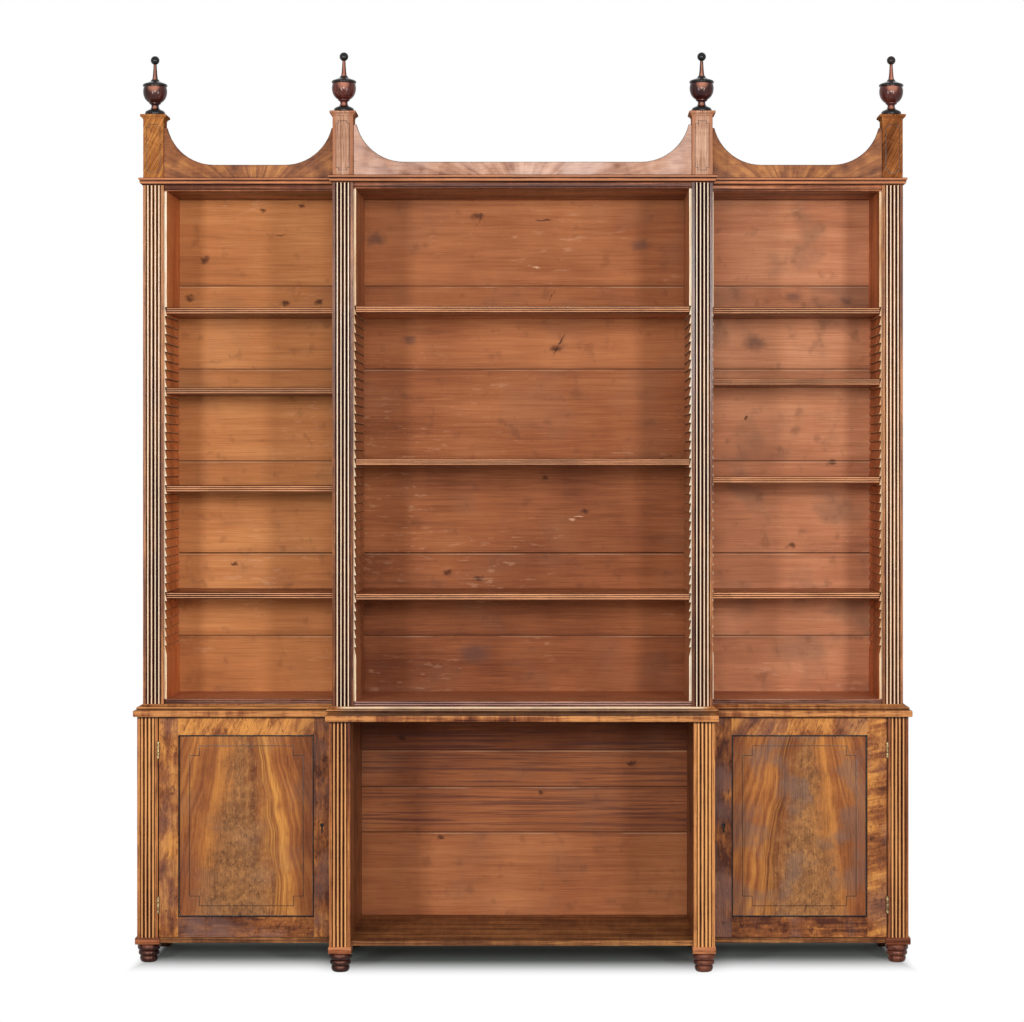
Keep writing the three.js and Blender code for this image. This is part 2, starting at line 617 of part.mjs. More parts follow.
function rectangle([x0, x1], [z0, z1]) {
  return [[x0, z0], [x1, z0], [x1, z1], [x0, z1]];
}

// A framed door: a rebated frame with a keyhole, and a panel that lies in the rebate
function makeDoors() {
  const shoulderY = DOOR_FRONT_Y + PANEL_SETBACK;
  const backY = DOOR_FRONT_Y + DOOR_THICKNESS;
  for (const { name, side } of SIDES) {
    const outline = rectangle([side * DOOR_FREE_X, side * DOOR_HINGE_X], [DOOR_BOTTOM_Z, DOOR_TOP_Z]);
    const opening = (grow) => rectangle(
      [side * (DOOR_FREE_X + DOOR_STILE - grow), side * (DOOR_HINGE_X - DOOR_STILE + grow)],
      [DOOR_BOTTOM_Z + DOOR_BOTTOM_RAIL - grow, DOOR_TOP_Z - DOOR_TOP_RAIL + grow]);
    const lip = extrudeY(outline, [DOOR_FRONT_Y, shoulderY], [opening(0)]);
    const rear = extrudeY(outline, [shoulderY, backY], [opening(PANEL_REBATE)]);
    const keyX = side * (DOOR_FREE_X + KEYHOLE_FROM_EDGE);
    const keyZ = (DOOR_BOTTOM_Z + DOOR_TOP_Z) / 2 + KEYHOLE_ABOVE_MIDDLE;
    const frame = join(lip, rear).subtract(keyhole(keyX, keyZ));
    piece(`door_frame_${name}`, frame, MAHOGANY, 0.35);
    const panel = opening(PANEL_REBATE - PANEL_CLEARANCE);
    piece(`door_panel_${name}`, extrudeY(panel, [shoulderY, shoulderY + PANEL_THICKNESS]), FIGURED, 0.3);
  }
}

// A round hole with a slot below it, cut in from the front of the door
function keyhole(x, z) {
  const cut = [DOOR_FRONT_Y - OVERCUT, DOOR_FRONT_Y + KEYHOLE_DEPTH];
  const ring = [];
  for (let step = 0; step < HINGE_SIDES; step += 1) {
    const angle = 2 * Math.PI * step / HINGE_SIDES;
    ring.push([x + KEYHOLE_RADIUS * Math.cos(angle), z + KEYHOLE_RADIUS * Math.sin(angle)]);
  }
  const halfSlot = KEYHOLE_SLOT_WIDTH / 2;
  const slot = block([x - halfSlot, x + halfSlot], cut, [z - KEYHOLE_SLOT_LENGTH, z]);
  return join(extrudeY(ring, cut), slot);
}

// The axis of a door's hinges, just in front of the joint between door and pilaster
const HINGE_X = BASE_HALF_WIDTH - PILASTER_WIDTH - DOOR_HINGE_GAP / 2;
const HINGE_Y = frontAt(BASE_WING_DEPTH + HINGE_RADIUS + CLEARANCE);

function rod(radius, [x, y], [z0, z1]) {
  const geometry = new THREE.CylinderGeometry(radius, radius, z1 - z0, HINGE_SIDES);
  return geometry.rotateX(Math.PI / 2).translate(x, y, (z0 + z1) / 2);
}

// One leaf of a butt hinge: a plate against its edge, and every second barrel of the knuckle
function hingeLeaf(side, z0, plateX, rearY, first) {
  const barrel = HINGE_HEIGHT / HINGE_BARRELS;
  const centre = [side * HINGE_X, HINGE_Y];
  const plate = plateX.map((x) => side * x);
  const clearY = HINGE_Y + HINGE_RADIUS + CLEARANCE;
  let leaf = solidOf(block(plate, [clearY, rearY], [z0, z0 + HINGE_HEIGHT]));
  for (let number = first; number < HINGE_BARRELS; number += 2) {
    const low = z0 + number * barrel + (number ? CLEARANCE / 2 : 0);
    const last = number === HINGE_BARRELS - 1;
    const high = z0 + (number + 1) * barrel - (last ? 0 : CLEARANCE / 2);
    leaf = leaf.add(solidOf(rod(HINGE_RADIUS, centre, [low, high])));
    leaf = leaf.add(solidOf(block(plate, [HINGE_Y, clearY + HINGE_LEAF], [low, high])));
  }
  return leaf;
}

// The hinges: the case leaf carries the pin, and the door leaf is bored to turn on it
function makeHinges() {
  const caseFace = BASE_HALF_WIDTH - PILASTER_WIDTH;
  const casePlate = [caseFace - HINGE_LEAF, caseFace];
  const doorPlate = [DOOR_HINGE_X, DOOR_HINGE_X + HINGE_LEAF];
  const rearY = frontAt(BASE_WING_DEPTH) + HINGE_LEAF_INSET;
  const heights = {
    lower: DOOR_BOTTOM_Z + HINGE_INSET - HINGE_HEIGHT / 2,
    upper: DOOR_TOP_Z - HINGE_INSET - HINGE_HEIGHT / 2,
  };
  for (const { name, side } of SIDES) {
    for (const [level, z] of Object.entries(heights)) {
      const centre = [side * HINGE_X, HINGE_Y];
      const span = [z, z + HINGE_HEIGHT];
      const pin = solidOf(rod(HINGE_PIN_RADIUS, centre, span));
      const bore = solidOf(rod(HINGE_BORE_RADIUS, centre, [z - OVERCUT, z + HINGE_HEIGHT + OVERCUT]));
      const caseLeaf = hingeLeaf(side, z, casePlate, rearY, 0).add(pin);
      const doorLeaf = hingeLeaf(side, z, doorPlate, rearY, 1).subtract(bore);
      piece(`hinge_case_leaf_${name}_${level}`, caseLeaf, BRASS, 0.4, 0.9);
      piece(`hinge_door_leaf_${name}_${level}`, doorLeaf, BRASS, 0.4, 0.9);
    }
  }
}

// The rear of a pedestal stands on the plane of the wing panels, or at the pedestal's own depth
const pedestalDepth = (outer) => (outer ? PEDESTAL_DEPTH : UPPER_BREAK + CREST_PANEL_SETBACK);

// Square pedestals with small moulded caps, and a turned urn on each
function makePedestals() {
  for (const { name, side, outer } of PILASTER_PLACES) {
    const x = side * (upperEdge(outer) - PILASTER_WIDTH / 2);
    const front = frontAt(upperDepth(outer));
    const rear = front + pedestalDepth(outer);
    const half = PEDESTAL_WIDTH / 2;
    const ring = (grow) => [
      [x - half - grow, rear + grow], [x - half - grow, front - grow],
      [x + half + grow, front - grow], [x + half + grow, rear + grow],
    ];
    const capZ = CREST_Z + PEDESTAL_HEIGHT - PEDESTAL_CAP_HEIGHT;
    const levels = [{ points: ring(0), z: CREST_Z }];
    for (const [out, up] of CAP_PROFILE) {
      levels.push({ points: ring(out * PEDESTAL_CAP_PROJECTION), z: capZ + up * PEDESTAL_CAP_HEIGHT });
    }
    piece(`pedestal_${name}`, stack(levels), FIGURED);
    const finialZ = CREST_Z + PEDESTAL_HEIGHT;
    piece(`finial_${name}`, turned(finialProfile(), [x, (front + rear) / 2], finialZ), EBONISED, 0.25);
  }
}

// The urn's profile, with the ball on its spire as an arc that starts where the spire meets it
function finialProfile() {
  const [spireRadius, spireTop] = FINIAL_PROFILE[FINIAL_PROFILE.length - 1];
  const start = Math.asin(spireRadius / FINIAL_BALL_RADIUS);
  const centre = spireTop + FINIAL_BALL_RADIUS * Math.cos(start);
  const profile = [...FINIAL_PROFILE];
  for (let step = 1; step < FINIAL_BALL_STEPS; step += 1) {
    const angle = start + (Math.PI - start) * step / FINIAL_BALL_STEPS;
    profile.push([FINIAL_BALL_RADIUS * Math.sin(angle), centre - FINIAL_BALL_RADIUS * Math.cos(angle)]);
  }
  profile.push([0, centre + FINIAL_BALL_RADIUS]);
  return profile;
}

// A panel between two pedestals: level in the middle, swept up in an arc to an ear at each end
function sweptPanel([x0, x1], lap0, lap1, depth) {
  const flatZ = CREST_Z + CREST_FLAT_HEIGHT;
  const centreZ = flatZ + CREST_SWEEP_RADIUS;
  const startAngle = Math.acos((CREST_SWEEP_RADIUS - CREST_RISE) / CREST_SWEEP_RADIUS);
  const reach = CREST_SWEEP_RADIUS * Math.sin(startAngle);
  const sweep = [];
  for (let step = 0; step <= CREST_SWEEP_STEPS; step += 1) {
    const angle = startAngle * (1 - step / CREST_SWEEP_STEPS);
    const x = reach - CREST_SWEEP_RADIUS * Math.sin(angle);
    sweep.push([x, centreZ - CREST_SWEEP_RADIUS * Math.cos(angle)]);
  }
  const left = sweep.map(([u, z]) => [x0 + CREST_EAR_WIDTH + u, z]);
  const right = sweep.map(([u, z]) => [x1 - CREST_EAR_WIDTH - u, z]).reverse();
  const earZ = flatZ + CREST_RISE;
  const outline = [
    [x0 - lap0, CREST_Z], [x0 - lap0, earZ], ...left, ...right, [x1 + lap1, earZ], [x1 + lap1, CREST_Z],
  ];
  const front = frontAt(depth - CREST_PANEL_SETBACK);
  return extrudeY(outline, [front, front + CREST_PANEL_THICKNESS]);
}

// The crest panels: the wing panels lap behind the inner pedestals
function makeCrestPanels() {
  const slack = (PILASTER_WIDTH - PEDESTAL_WIDTH) / 2;
  const outerFace = UPPER_HALF_WIDTH - PILASTER_WIDTH + slack;
  const innerFace = BREAK_HALF_WIDTH - slack;
  const middleFace = BREAK_HALF_WIDTH - PILASTER_WIDTH + slack;
  const wingPanels = {
    left: sweptPanel([-outerFace, -innerFace], 0, CREST_LAP, UPPER_WING_DEPTH),
    right: sweptPanel([innerFace, outerFace], CREST_LAP, 0, UPPER_WING_DEPTH),
  };
  piece('crest_panel_left', wingPanels.left, FIGURED);
  piece('crest_panel_centre', sweptPanel([-middleFace, middleFace], 0, 0, UPPER_CENTRE_DEPTH), FIGURED);
  piece('crest_panel_right', wingPanels.right, FIGURED);
}

makeFeet();
makeBaseBottom();
makeBaseEnds();
makeBaseDivisions();
makeBaseBack();
makePilasters();
makeBaseTop();
makeDoors();
makeHinges();
makeUpperBoards();
makeUpperEnds();
makeUpperDivisions();
makeUpperBack();
makeShelves();
makePedestals();
makeCrestPanels();

export default model;
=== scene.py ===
# %% [markdown]
# # A mahogany breakfront bookcase
# The packed model already has every board, door and hinge in its real place and size.
# This script dresses it: it rounds the edges, cuts fine reeds and turnings, lays the grain of
# each board and lights the whole as a studio would. It starts by loading that model as a frame.

# %% Load the frame
import json
import math
import random

import bmesh
import bpy
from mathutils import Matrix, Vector


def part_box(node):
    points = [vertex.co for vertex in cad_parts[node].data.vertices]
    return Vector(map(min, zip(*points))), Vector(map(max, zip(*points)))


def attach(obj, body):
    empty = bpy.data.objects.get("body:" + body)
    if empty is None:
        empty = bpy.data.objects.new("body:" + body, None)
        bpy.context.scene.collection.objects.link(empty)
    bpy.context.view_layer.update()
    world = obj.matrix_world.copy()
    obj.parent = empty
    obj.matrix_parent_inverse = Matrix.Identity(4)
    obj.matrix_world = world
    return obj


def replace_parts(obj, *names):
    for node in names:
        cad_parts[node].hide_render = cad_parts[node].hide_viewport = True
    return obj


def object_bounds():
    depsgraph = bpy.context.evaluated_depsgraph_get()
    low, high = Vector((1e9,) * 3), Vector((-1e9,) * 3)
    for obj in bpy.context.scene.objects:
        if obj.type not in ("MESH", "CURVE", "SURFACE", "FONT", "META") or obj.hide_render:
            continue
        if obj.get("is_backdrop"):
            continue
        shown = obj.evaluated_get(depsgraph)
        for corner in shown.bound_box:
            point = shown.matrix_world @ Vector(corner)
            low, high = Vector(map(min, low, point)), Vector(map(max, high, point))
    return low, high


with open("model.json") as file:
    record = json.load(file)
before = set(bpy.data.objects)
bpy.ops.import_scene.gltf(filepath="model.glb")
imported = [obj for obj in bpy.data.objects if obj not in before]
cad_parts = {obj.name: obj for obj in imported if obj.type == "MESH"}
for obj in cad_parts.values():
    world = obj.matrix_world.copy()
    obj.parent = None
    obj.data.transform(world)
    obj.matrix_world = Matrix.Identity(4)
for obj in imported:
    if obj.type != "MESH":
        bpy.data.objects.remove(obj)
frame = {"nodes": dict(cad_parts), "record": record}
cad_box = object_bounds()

record = frame["record"]
BODY_OF = {node: body for body, nodes in record["behaviour"]["bodies"].items() for node in nodes}
SIDES = ("left", "right")
PLACES = ("outer_left", "inner_left", "inner_right", "outer_right")
print("nodes:", len(BODY_OF), "CAD box:", [[round(v, 4) for v in corner] for corner in cad_box])

# %% [markdown]
# ## The camera
# The photograph was taken square to the front from about eight metres, with the lens shifted
# down and to the side, so upright lines stay upright. A Blender camera does the same with its
# shift values, while it keeps looking straight along +Y.


# %% Set the camera
def new_object(name, data):
    """An object in the scene that shows this data."""
    made = bpy.data.objects.new(name, data)
    bpy.context.collection.objects.link(made)
    return made


def make_camera(eye):
    data = bpy.data.cameras.new("studio_camera")
    data.sensor_width = 36.0
    data.lens = 93.75
    data.shift_x = -0.0488
    data.shift_y = -0.0440
    data.clip_end = 200.0
    camera = new_object("studio_camera", data)
    camera.location = eye
    camera.rotation_euler = (math.pi / 2, 0.0, 0.0)
    bpy.context.scene.camera = camera
    return camera


camera = make_camera((0.117, -8.047, 1.485))
bpy.context.scene.view_settings.view_transform = "Standard"
print("camera at", tuple(round(v, 3) for v in camera.location), "lens", camera.data.lens)

# %% [markdown]
# ## Sums on sockets
# Finishes and repeated shapes are both made of nodes. A finish is easier to read as a sum than
# as a list of wires, so `Signal` wraps one socket, and `a * 0.5 + b` adds the Math nodes itself.
# `Graph.node` makes any other node from its type, the values of its sockets and its settings.


# %% A socket that can be reckoned with
def operator(operation, swapped=False):
    """A Python operator that adds a Math node."""
    def apply(signal, other):
        return signal.graph.math(operation, *((other, signal) if swapped else (signal, other)))
    return apply


class Signal:
    __add__, __radd__ = operator("ADD"), operator("ADD", True)
    __sub__, __rsub__ = operator("SUBTRACT"), operator("SUBTRACT", True)
    __mul__, __rmul__ = operator("MULTIPLY"), operator("MULTIPLY", True)
    __truediv__, __rtruediv__ = operator("DIVIDE"), operator("DIVIDE", True)
    __pow__, __rpow__ = operator("POWER"), operator("POWER", True)

    def __init__(self, graph, socket):
        self.graph = graph
        self.socket = socket

    def of(self, operation, *others):
        """One of the Math node's own functions, such as SINE or MAXIMUM."""
        return self.graph.math(operation, self, *others)

    def __abs__(self):
        return self.of("ABSOLUTE")

    def step(self, low, high):
        """0 below low, 1 above high and a smooth rise between them."""
        return self.graph.node("ShaderNodeMapRange", {"Value": self, "From Min": low, "From Max": high},
                               interpolation_type="SMOOTHSTEP")

    def clamp(self, low, high):
        return self.of("MINIMUM", high).of("MAXIMUM", low)


class Graph:
    """A node tree of a finish or of a shape."""

    def __init__(self, tree):
        self.tree = tree

    def node(self, kind, values=None, output=0, **settings):
        made = self.tree.nodes.new(kind)
        for name, setting in settings.items():
            if name == "stops":
                self.set_stops(made.color_ramp, setting)
            else:
                setattr(made, name, setting)
        for name, value in (values or {}).items():
            if isinstance(value, Signal):
                self.tree.links.new(value.socket, made.inputs[name])
            else:
                made.inputs[name].default_value = value
        return Signal(self, made.outputs[output]) if made.outputs else made

    @staticmethod
    def set_stops(ramp, stops):
        for position, _ in stops[2:]:
            ramp.elements.new(position)
        for element, (position, colour) in zip(ramp.elements, stops):
            element.position = position
            element.color = colour

    def math(self, operation, *values):
        return self.node("ShaderNodeMath", dict(enumerate(values)), operation=operation)

    def vector(self, operation, *values, output=0):
        return self.node("ShaderNodeVectorMath", dict(enumerate(values)), output, operation=operation)

    def scaled(self, vector, factor):
        return self.node("ShaderNodeVectorMath", {0: vector, 3: factor}, operation="SCALE")

    def joined(self, x, y, z):
        return self.node("ShaderNodeCombineXYZ", {0: x, 1: y, 2: z})

    def axes(self, vector):
        """The x, y and z of a vector."""
        split = self.node("ShaderNodeSeparateXYZ", {0: vector}).socket.node
        return [Signal(self, split.outputs[axis]) for axis in range(3)]

    def noise(self, spot, scale=1.0, detail=2.0, rough=0.5, warp=0.0, output=0):
        return self.node("ShaderNodeTexNoise", {"Vector": spot, "Scale": scale, "Detail": detail,
                                                "Roughness": rough, "Distortion": warp}, output)

    def blend(self, factor, first, second, mode="MIX"):
        """Mixes two colours."""
        return self.node("ShaderNodeMix", {0: factor, 6: first, 7: second}, 2,
                         data_type="RGBA", blend_type=mode)

    def crossfade(self, factor, first, second, end="ShaderNodeOutputMaterial"):
        """Ends a finish with two shaders and the share of the second."""
        mixed = self.node("ShaderNodeMixShader", {0: factor, 1: first, 2: second})
        self.node(end, {"Surface": mixed})


def greatest(signals):
    """The largest of some signals at each point."""
    found, *others = signals
    for other in others:
        found = found.of("MAXIMUM", other)
    return found


def emptied(owner):
    """The node tree of a material or of the world, with nothing in it."""
    owner.use_nodes = True
    owner.node_tree.nodes.clear()
    return owner.node_tree


print("sums on sockets are ready")

# %% [markdown]
# ## The studio
# A white sweep and large soft lamps give the even light of a sale-room photograph. Near the case
# the floor is dark grey paint, which shows the shadow under the case and deepens it as painted
# shade. Away from the case it turns to plain white for the camera, so no horizon shows.


# %% Light the studio
WHITE = (1.0, 1.0, 1.0, 1.0)
LAMP_TARGET = (0.0, 0.0, 1.4)
LAMPS = (
    ("lamp_right", (2.35, -4.7, 1.8), LAMP_TARGET, 0.5, 2.0, 90.0),
    ("lamp_left", (-2.35, -4.7, 1.8), LAMP_TARGET, 0.5, 2.0, 90.0),
    ("lamp_front", (0.1, -8.8, 2.5), (0.1, 0.0, 1.4), 2.4, 1.2, 260.0),
)


def seen_directly(paint):
    """1 for rays that show the surface itself, also in a mirror or through glass."""
    seen, mirrored, through = [paint.node("ShaderNodeLightPath", output=name)
                               for name in ("Is Camera Ray", "Is Glossy Ray", "Is Transmission Ray")]
    return (seen + mirrored + through).clamp(0.0, 1.0)


def light_world(level):
    world = bpy.data.worlds.new("studio_world")
    paint = Graph(emptied(world))
    ambient = paint.node("ShaderNodeBackground", {"Color": (1.0, 0.985, 0.965, 1.0), "Strength": level})
    backdrop = paint.node("ShaderNodeBackground", {"Color": WHITE, "Strength": 1.0})
    paint.crossfade(seen_directly(paint), ambient, backdrop, "ShaderNodeOutputWorld")
    bpy.context.scene.world = world


def soft_lamp(name, place, target, width, height, power):
    data = bpy.data.lights.new(name, "AREA")
    data.shape = "RECTANGLE"
    data.size = width
    data.size_y = height
    data.energy = power
    lamp = new_object(name, data)
    lamp.location = place
    lamp.rotation_euler = (Vector(target) - Vector(place)).to_track_quat("-Z", "Y").to_euler()


def make_floor(reach):
    mesh = bpy.data.meshes.new("studio_floor")
    corners = [(-reach, -reach, 0), (reach, -reach, 0), (reach, reach, 0), (-reach, reach, 0)]
    mesh.from_pydata(corners, [], [(0, 1, 2, 3)])
    material = bpy.data.materials.new("white_floor")
    paint = Graph(emptied(material))
    x, y, _ = paint.axes(paint.node("ShaderNodeTexCoord", output="Object"))
    beside = abs(x).step(1.1, 1.17)
    before = (-1.0 * y - 0.06 * (1.0 - abs(x).step(0.5, 0.64))).step(-0.04, 0.24)
    away = greatest([beside, before, y.step(0.25, 0.45)]) * seen_directly(paint)
    # Dark grey near the case: painted shade that deepens the shadow.
    matt = paint.node("ShaderNodeBsdfDiffuse", {"Color": (0.34, 0.38, 0.36, 1.0)})
    plain = paint.node("ShaderNodeEmission", {"Color": WHITE, "Strength": 1.0})
    paint.crossfade(away, matt, plain)
    mesh.materials.append(material)
    new_object("studio_floor", mesh)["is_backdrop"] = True


light_world(0.3)
for lamp in LAMPS:
    soft_lamp(*lamp)
make_floor(40.0)

# %% [markdown]
# ## Grain that follows each board
# On real furniture every board was cut from another place in a log, so its grain runs along it
# and never matches its neighbour. Each piece here carries two values on its faces: `grain`, the
# direction that its fibres run, and `board`, three chance numbers that shift and tint the
# pattern. One finish can then serve every board of its kind.


# %% Lay the grain
ALONG_X, ALONG_Z = (1.0, 0.0, 0.0), (0.0, 0.0, 1.0)


def chance(seed):
    dice = random.Random(seed)
    return (dice.uniform(-1, 1), dice.uniform(-1, 1), dice.uniform(-1, 1))


def lay_grain(mesh, rule):
    """rule(centre of a face) gives the direction of the grain, a seed and, at will, a tint from -1 to 1."""
    directions, boards, cache = [], [], {}
    for face in mesh.polygons:
        direction, seed, *tint = rule(face.center)
        if seed not in cache:
            tones = chance(seed)
            cache[seed] = (tint[0], *tones[1:]) if tint else tones
        directions.extend(direction)
        boards.extend(cache[seed])
    for name, values in (("grain", directions), ("board", boards)):
        layer = mesh.attributes.get(name) or mesh.attributes.new(name, "FLOAT_VECTOR", "FACE")
        layer.data.foreach_set("vector", values)


def one_board(direction, seed, *tint):
    return lambda centre: (direction, seed, *tint)


print("grain rules are ready; a sample board:", [round(v, 2) for v in chance("shelf_left_1")])

# %% [markdown]
# ## Waxed wood
# Mahogany shows slow bands of colour, narrow streaks, a shimmer across the fibres and fine dark
# pores. Each is a Noise texture that is stretched along the grain by its own amount. Old wax
# gives a soft gloss with duller patches, and handling leaves the edges lighter. On reeds a finish
# also paints light and shade: painted shade in the hollows and a painted highlight on the crests.
# On turnings it paints a highlight where they face forward and up, and washes lay on more
# painted shade and painted highlights from masks.


# %% Gather the textures of a wood
def srgb(colour):
    """A colour as a picture shows it, 0 to 255, turned into the linear light that Blender mixes."""
    shares = [value / 255.0 for value in colour]
    return (*[v / 12.92 if v <= 0.04045 else ((v + 0.055) / 1.055) ** 2.4 for v in shares], 1.0)


class Wood(Graph):
    """One wooden finish: its textures, and the colour that has been laid so far."""

    def __init__(self, name):
        self.material = bpy.data.materials.new(name)
        super().__init__(emptied(self.material))
        self.place = self.node("ShaderNodeTexCoord", output="Object")
        self.facing = self.node("ShaderNodeTexCoord", output="Normal")
        self.grain = self.node("ShaderNodeAttribute", output="Vector", attribute_name="grain")
        self.board = self.node("ShaderNodeAttribute", output="Vector", attribute_name="board")
        self.along = self.vector("DOT_PRODUCT", self.place, self.grain, output="Value")
        self.x, self.y, self.z = self.axes(self.place)
        _, backward, self.up = self.axes(self.facing)
        self.front = backward * -1.0
        self.tint = self.axes(self.board)[0]

    def shifted(self, amount):
        """The place of a point, shifted by its board's chance numbers."""
        return self.vector("ADD", self.place, self.scaled(self.board, amount))

    def fibres(self, across, lengthways, detail=3.0, warp=0.0, place=None):
        """Noise with so many features in a metre across the grain and along it."""
        even = self.scaled(place or self.place, across)
        drawn = self.scaled(self.grain, self.along * (lengthways - across))
        spot = self.vector("ADD", self.vector("ADD", even, drawn), self.scaled(self.board, 13.0))
        return self.noise(spot, 1.0, detail, 0.55, warp)

    def clouds(self, scale, detail=2.0):
        return self.noise(self.shifted(5.0), scale, detail)

    def crinkles(self, scale):
        """Small crooked flecks, as in the knotty wood of a fork."""
        return self.noise(self.vector("MULTIPLY", self.shifted(5.0), (1.0, 1.0, 0.5)), scale, 4.0, 0.6, 1.2)

    def end_grain(self):
        return abs(self.vector("DOT_PRODUCT", self.facing, self.grain, output="Value")).step(0.7, 0.95)

    def tones(self, value, *colours):
        """Runs from the first colour over the second to the third."""
        stops = [(place, srgb(colour)) for place, colour in zip((0.3, 0.5, 0.7), colours)]
        return self.node("ShaderNodeValToRGB", {0: value}, stops=stops)

    def lay(self, mask, colour, mode="MIX"):
        """Lays a colour over the finish where the mask is 1."""
        self.colour = self.blend(mask, self.colour, srgb(colour), mode)

    def pores(self, spread, colour):
        """Fine dark pores, which also give the relief."""
        fine = self.fibres(420.0, 14.0, detail=2.0)
        self.lay((0.52 - fine).step(0.0, spread) * 0.3, colour, "MULTIPLY")
        return fine

    def finished(self, rough, relief, coat=0.1, shine=0.05):
        fine_bump = self.node("ShaderNodeBump", {"Strength": 0.35, "Distance": 0.0006, "Height": relief})
        skin = self.node("ShaderNodeBsdfPrincipled", {
            "Base Color": self.colour, "Roughness": rough, "Coat Weight": coat, "Coat Roughness": 0.16,
            "Specular IOR Level": shine, "Normal": fine_bump})
        self.node("ShaderNodeOutputMaterial", {"Surface": skin})
        return self.material


print("textures of a wood:", [name for name in vars(Wood) if not name.startswith("_")])


# %% Mix a waxed finish
def waxed(name, dark, middle, light, streaks=0.8, shimmer=0.3, lift=0.0, rough=0.38, grime=0.3, coat=0.1,
          shine=0.05, groove=None, crest=None, flank=0.95, washes=(), polish=None):
    """washes holds pairs: mask(paint), and the colour that it lays on. Most are painted shade and painted
    highlights; a few are plain tones of the wood.
    """
    paint = Wood(name)
    bands = paint.fibres(7.0, 0.9, detail=2.0, warp=0.4)
    lines = paint.fibres(70.0, 1.8, detail=5.0, warp=0.3)
    ribbon = paint.fibres(8.0, 55.0, detail=3.0, warp=0.5) * 0.5 + paint.clouds(9.0, 2.0) * 0.5
    hair = paint.fibres(230.0, 5.0, detail=4.0)
    fine = paint.fibres(520.0, 16.0, detail=2.0)
    tone = 0.5 + (bands - 0.5) * 0.8 + (lines - 0.5) * streaks + (hair - 0.5) * 0.6 + (ribbon - 0.5) * shimmer
    paint.colour = paint.tones(tone + paint.tint * 0.14 + lift, dark, middle, light)
    paint.lay((0.5 - fine).step(0.0, 0.12) * 0.5, dark, "MULTIPLY")
    # Painted shade in the hollows between the reeds, and a painted highlight on their crests.
    if groove:
        reed = paint.node("ShaderNodeAttribute", output="Fac", attribute_name="reed")
        hollow = (flank - paint.front).step(0.0, 0.28) * reed
        paint.lay(hollow * 0.97, groove)
        paint.lay(paint.front.step(0.95, 0.995) * reed * 0.85, crest)
        coat = (1.0 - hollow) * coat
    # A painted highlight on faces that look forward and up, broken by clouds.
    if polish:
        rubbed = paint.vector("DOT_PRODUCT", paint.facing, (0.0, -0.93, 0.37), output="Value").step(0.8, 1.0)
        paint.lay(rubbed * (0.3 + paint.clouds(60.0, 3.0) * 0.7), polish)
    for mask, wash in washes:
        paint.lay(mask(paint), wash)
    soot = paint.clouds(6.0, 4.0).step(0.52, 0.75) * grime
    paint.lay(soot, (72, 42, 30))
    paint.lay(paint.end_grain() * 0.45, dark)
    patchy = paint.clouds(14.0, 3.0)
    return paint.finished(rough + (patchy - 0.5) * 0.25 + soot * 0.2, fine, coat, shine)


def level_lines(heights, half_width, strength=1.0, where=None):
    """A mask of level lines at these heights, limited by another mask at will."""
    def mask(paint):
        found = greatest([1.0 - abs(paint.z - height).step(half_width * 0.4, half_width) for height in heights])
        return found * strength * where(paint) if where else found * strength
    return mask


def either(*masks):
    return lambda paint: greatest([mask(paint) for mask in masks])


def middle_bay(paint):
    return 1.0 - abs(paint.x).step(0.52, 0.56)


print("a waxed finish takes", waxed.__code__.co_argcount, "values")

# %% [markdown]
# ## Painted shade and highlights
# Shade that falls in quirks, in corners, under the teeth and under edges is painted into the
# colour here, and so are highlights on the crests of mouldings. They could be painted on a
# picture, but they lie at known heights on this case. So each is a mask that is worked out from
# height and facing, which stays sharp close up, and a finish lays its colour on with it.

# %% Place the painted shade and the painted highlights
FIRST_TOOTH = 0.91875
LAST_TOOTH = 1.962
TOOTH_PITCH = 0.02675
INNER_PEDESTAL_X = sum(corner[0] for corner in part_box("pedestal_inner_right")) / 2
# The dark brown of painted shade, laid into quirks, corners and under things.
SOOT = (30, 14, 10)


def bead_flanks(paint):
    """Painted shade on the sides of the beads along the foot of the upper case."""
    flank = (0.8 - paint.front).step(0.0, 0.4) * (1.0 - abs(paint.up).step(0.95, 0.99))
    return flank * (1.0 - abs(paint.z - 0.776).step(0.009, 0.0105)) * 0.85


# Painted highlight on the fronts of the beads in the middle bay.
def pale_beads(paint):
    return middle_bay(paint) * paint.front.step(0.9, 0.99) * 0.4


def level_face(paint):
    grain = paint.fibres(60.0, 2.0, detail=5.0).step(0.35, 0.65)
    return paint.up.step(0.97, 0.99) * (0.4 + grain * 0.5)


def tooth_dirt(paint):
    """Painted shade under each tooth and on the faces that look down."""
    phase = ((paint.z - FIRST_TOOTH) / TOOTH_PITCH).of("FRACT")
    toothed = paint.z.of("GREATER_THAN", FIRST_TOOTH) * paint.z.of("LESS_THAN", LAST_TOOTH)
    return (phase.step(0.78, 0.94) * toothed).of("MAXIMUM", (paint.up * -1.0).step(0.3, 0.8)) * 0.75


def top_dirt(paint):
    """Level faces a little darker, and painted shade in lines along the lower part of the moulding."""
    up = paint.up.step(0.6, 0.9)
    foot = either(level_lines((0.7566,), 0.0034), level_lines((0.7652, 0.7705), 0.0013, 0.7))(paint)
    return up * 0.15 + foot * (1.0 - up) * 0.85


def rear_dirt(paint):
    """Painted shade on the feet at the back, which stand in the shadow under the case."""
    return paint.y.step(0.08, 0.16) * (0.077 - paint.z).step(0.0, 0.002) * 0.85


def under_the_top(paint):
    """Painted shade in the corner under the edge of the base's top."""
    return (paint.z - 0.7285).step(0.0, 0.003) * 0.8


def border(paint):
    """The browner wood outside the line of an inner pedestal."""
    return abs(abs(paint.x) - INNER_PEDESTAL_X).step(0.016, 0.022) * 0.7
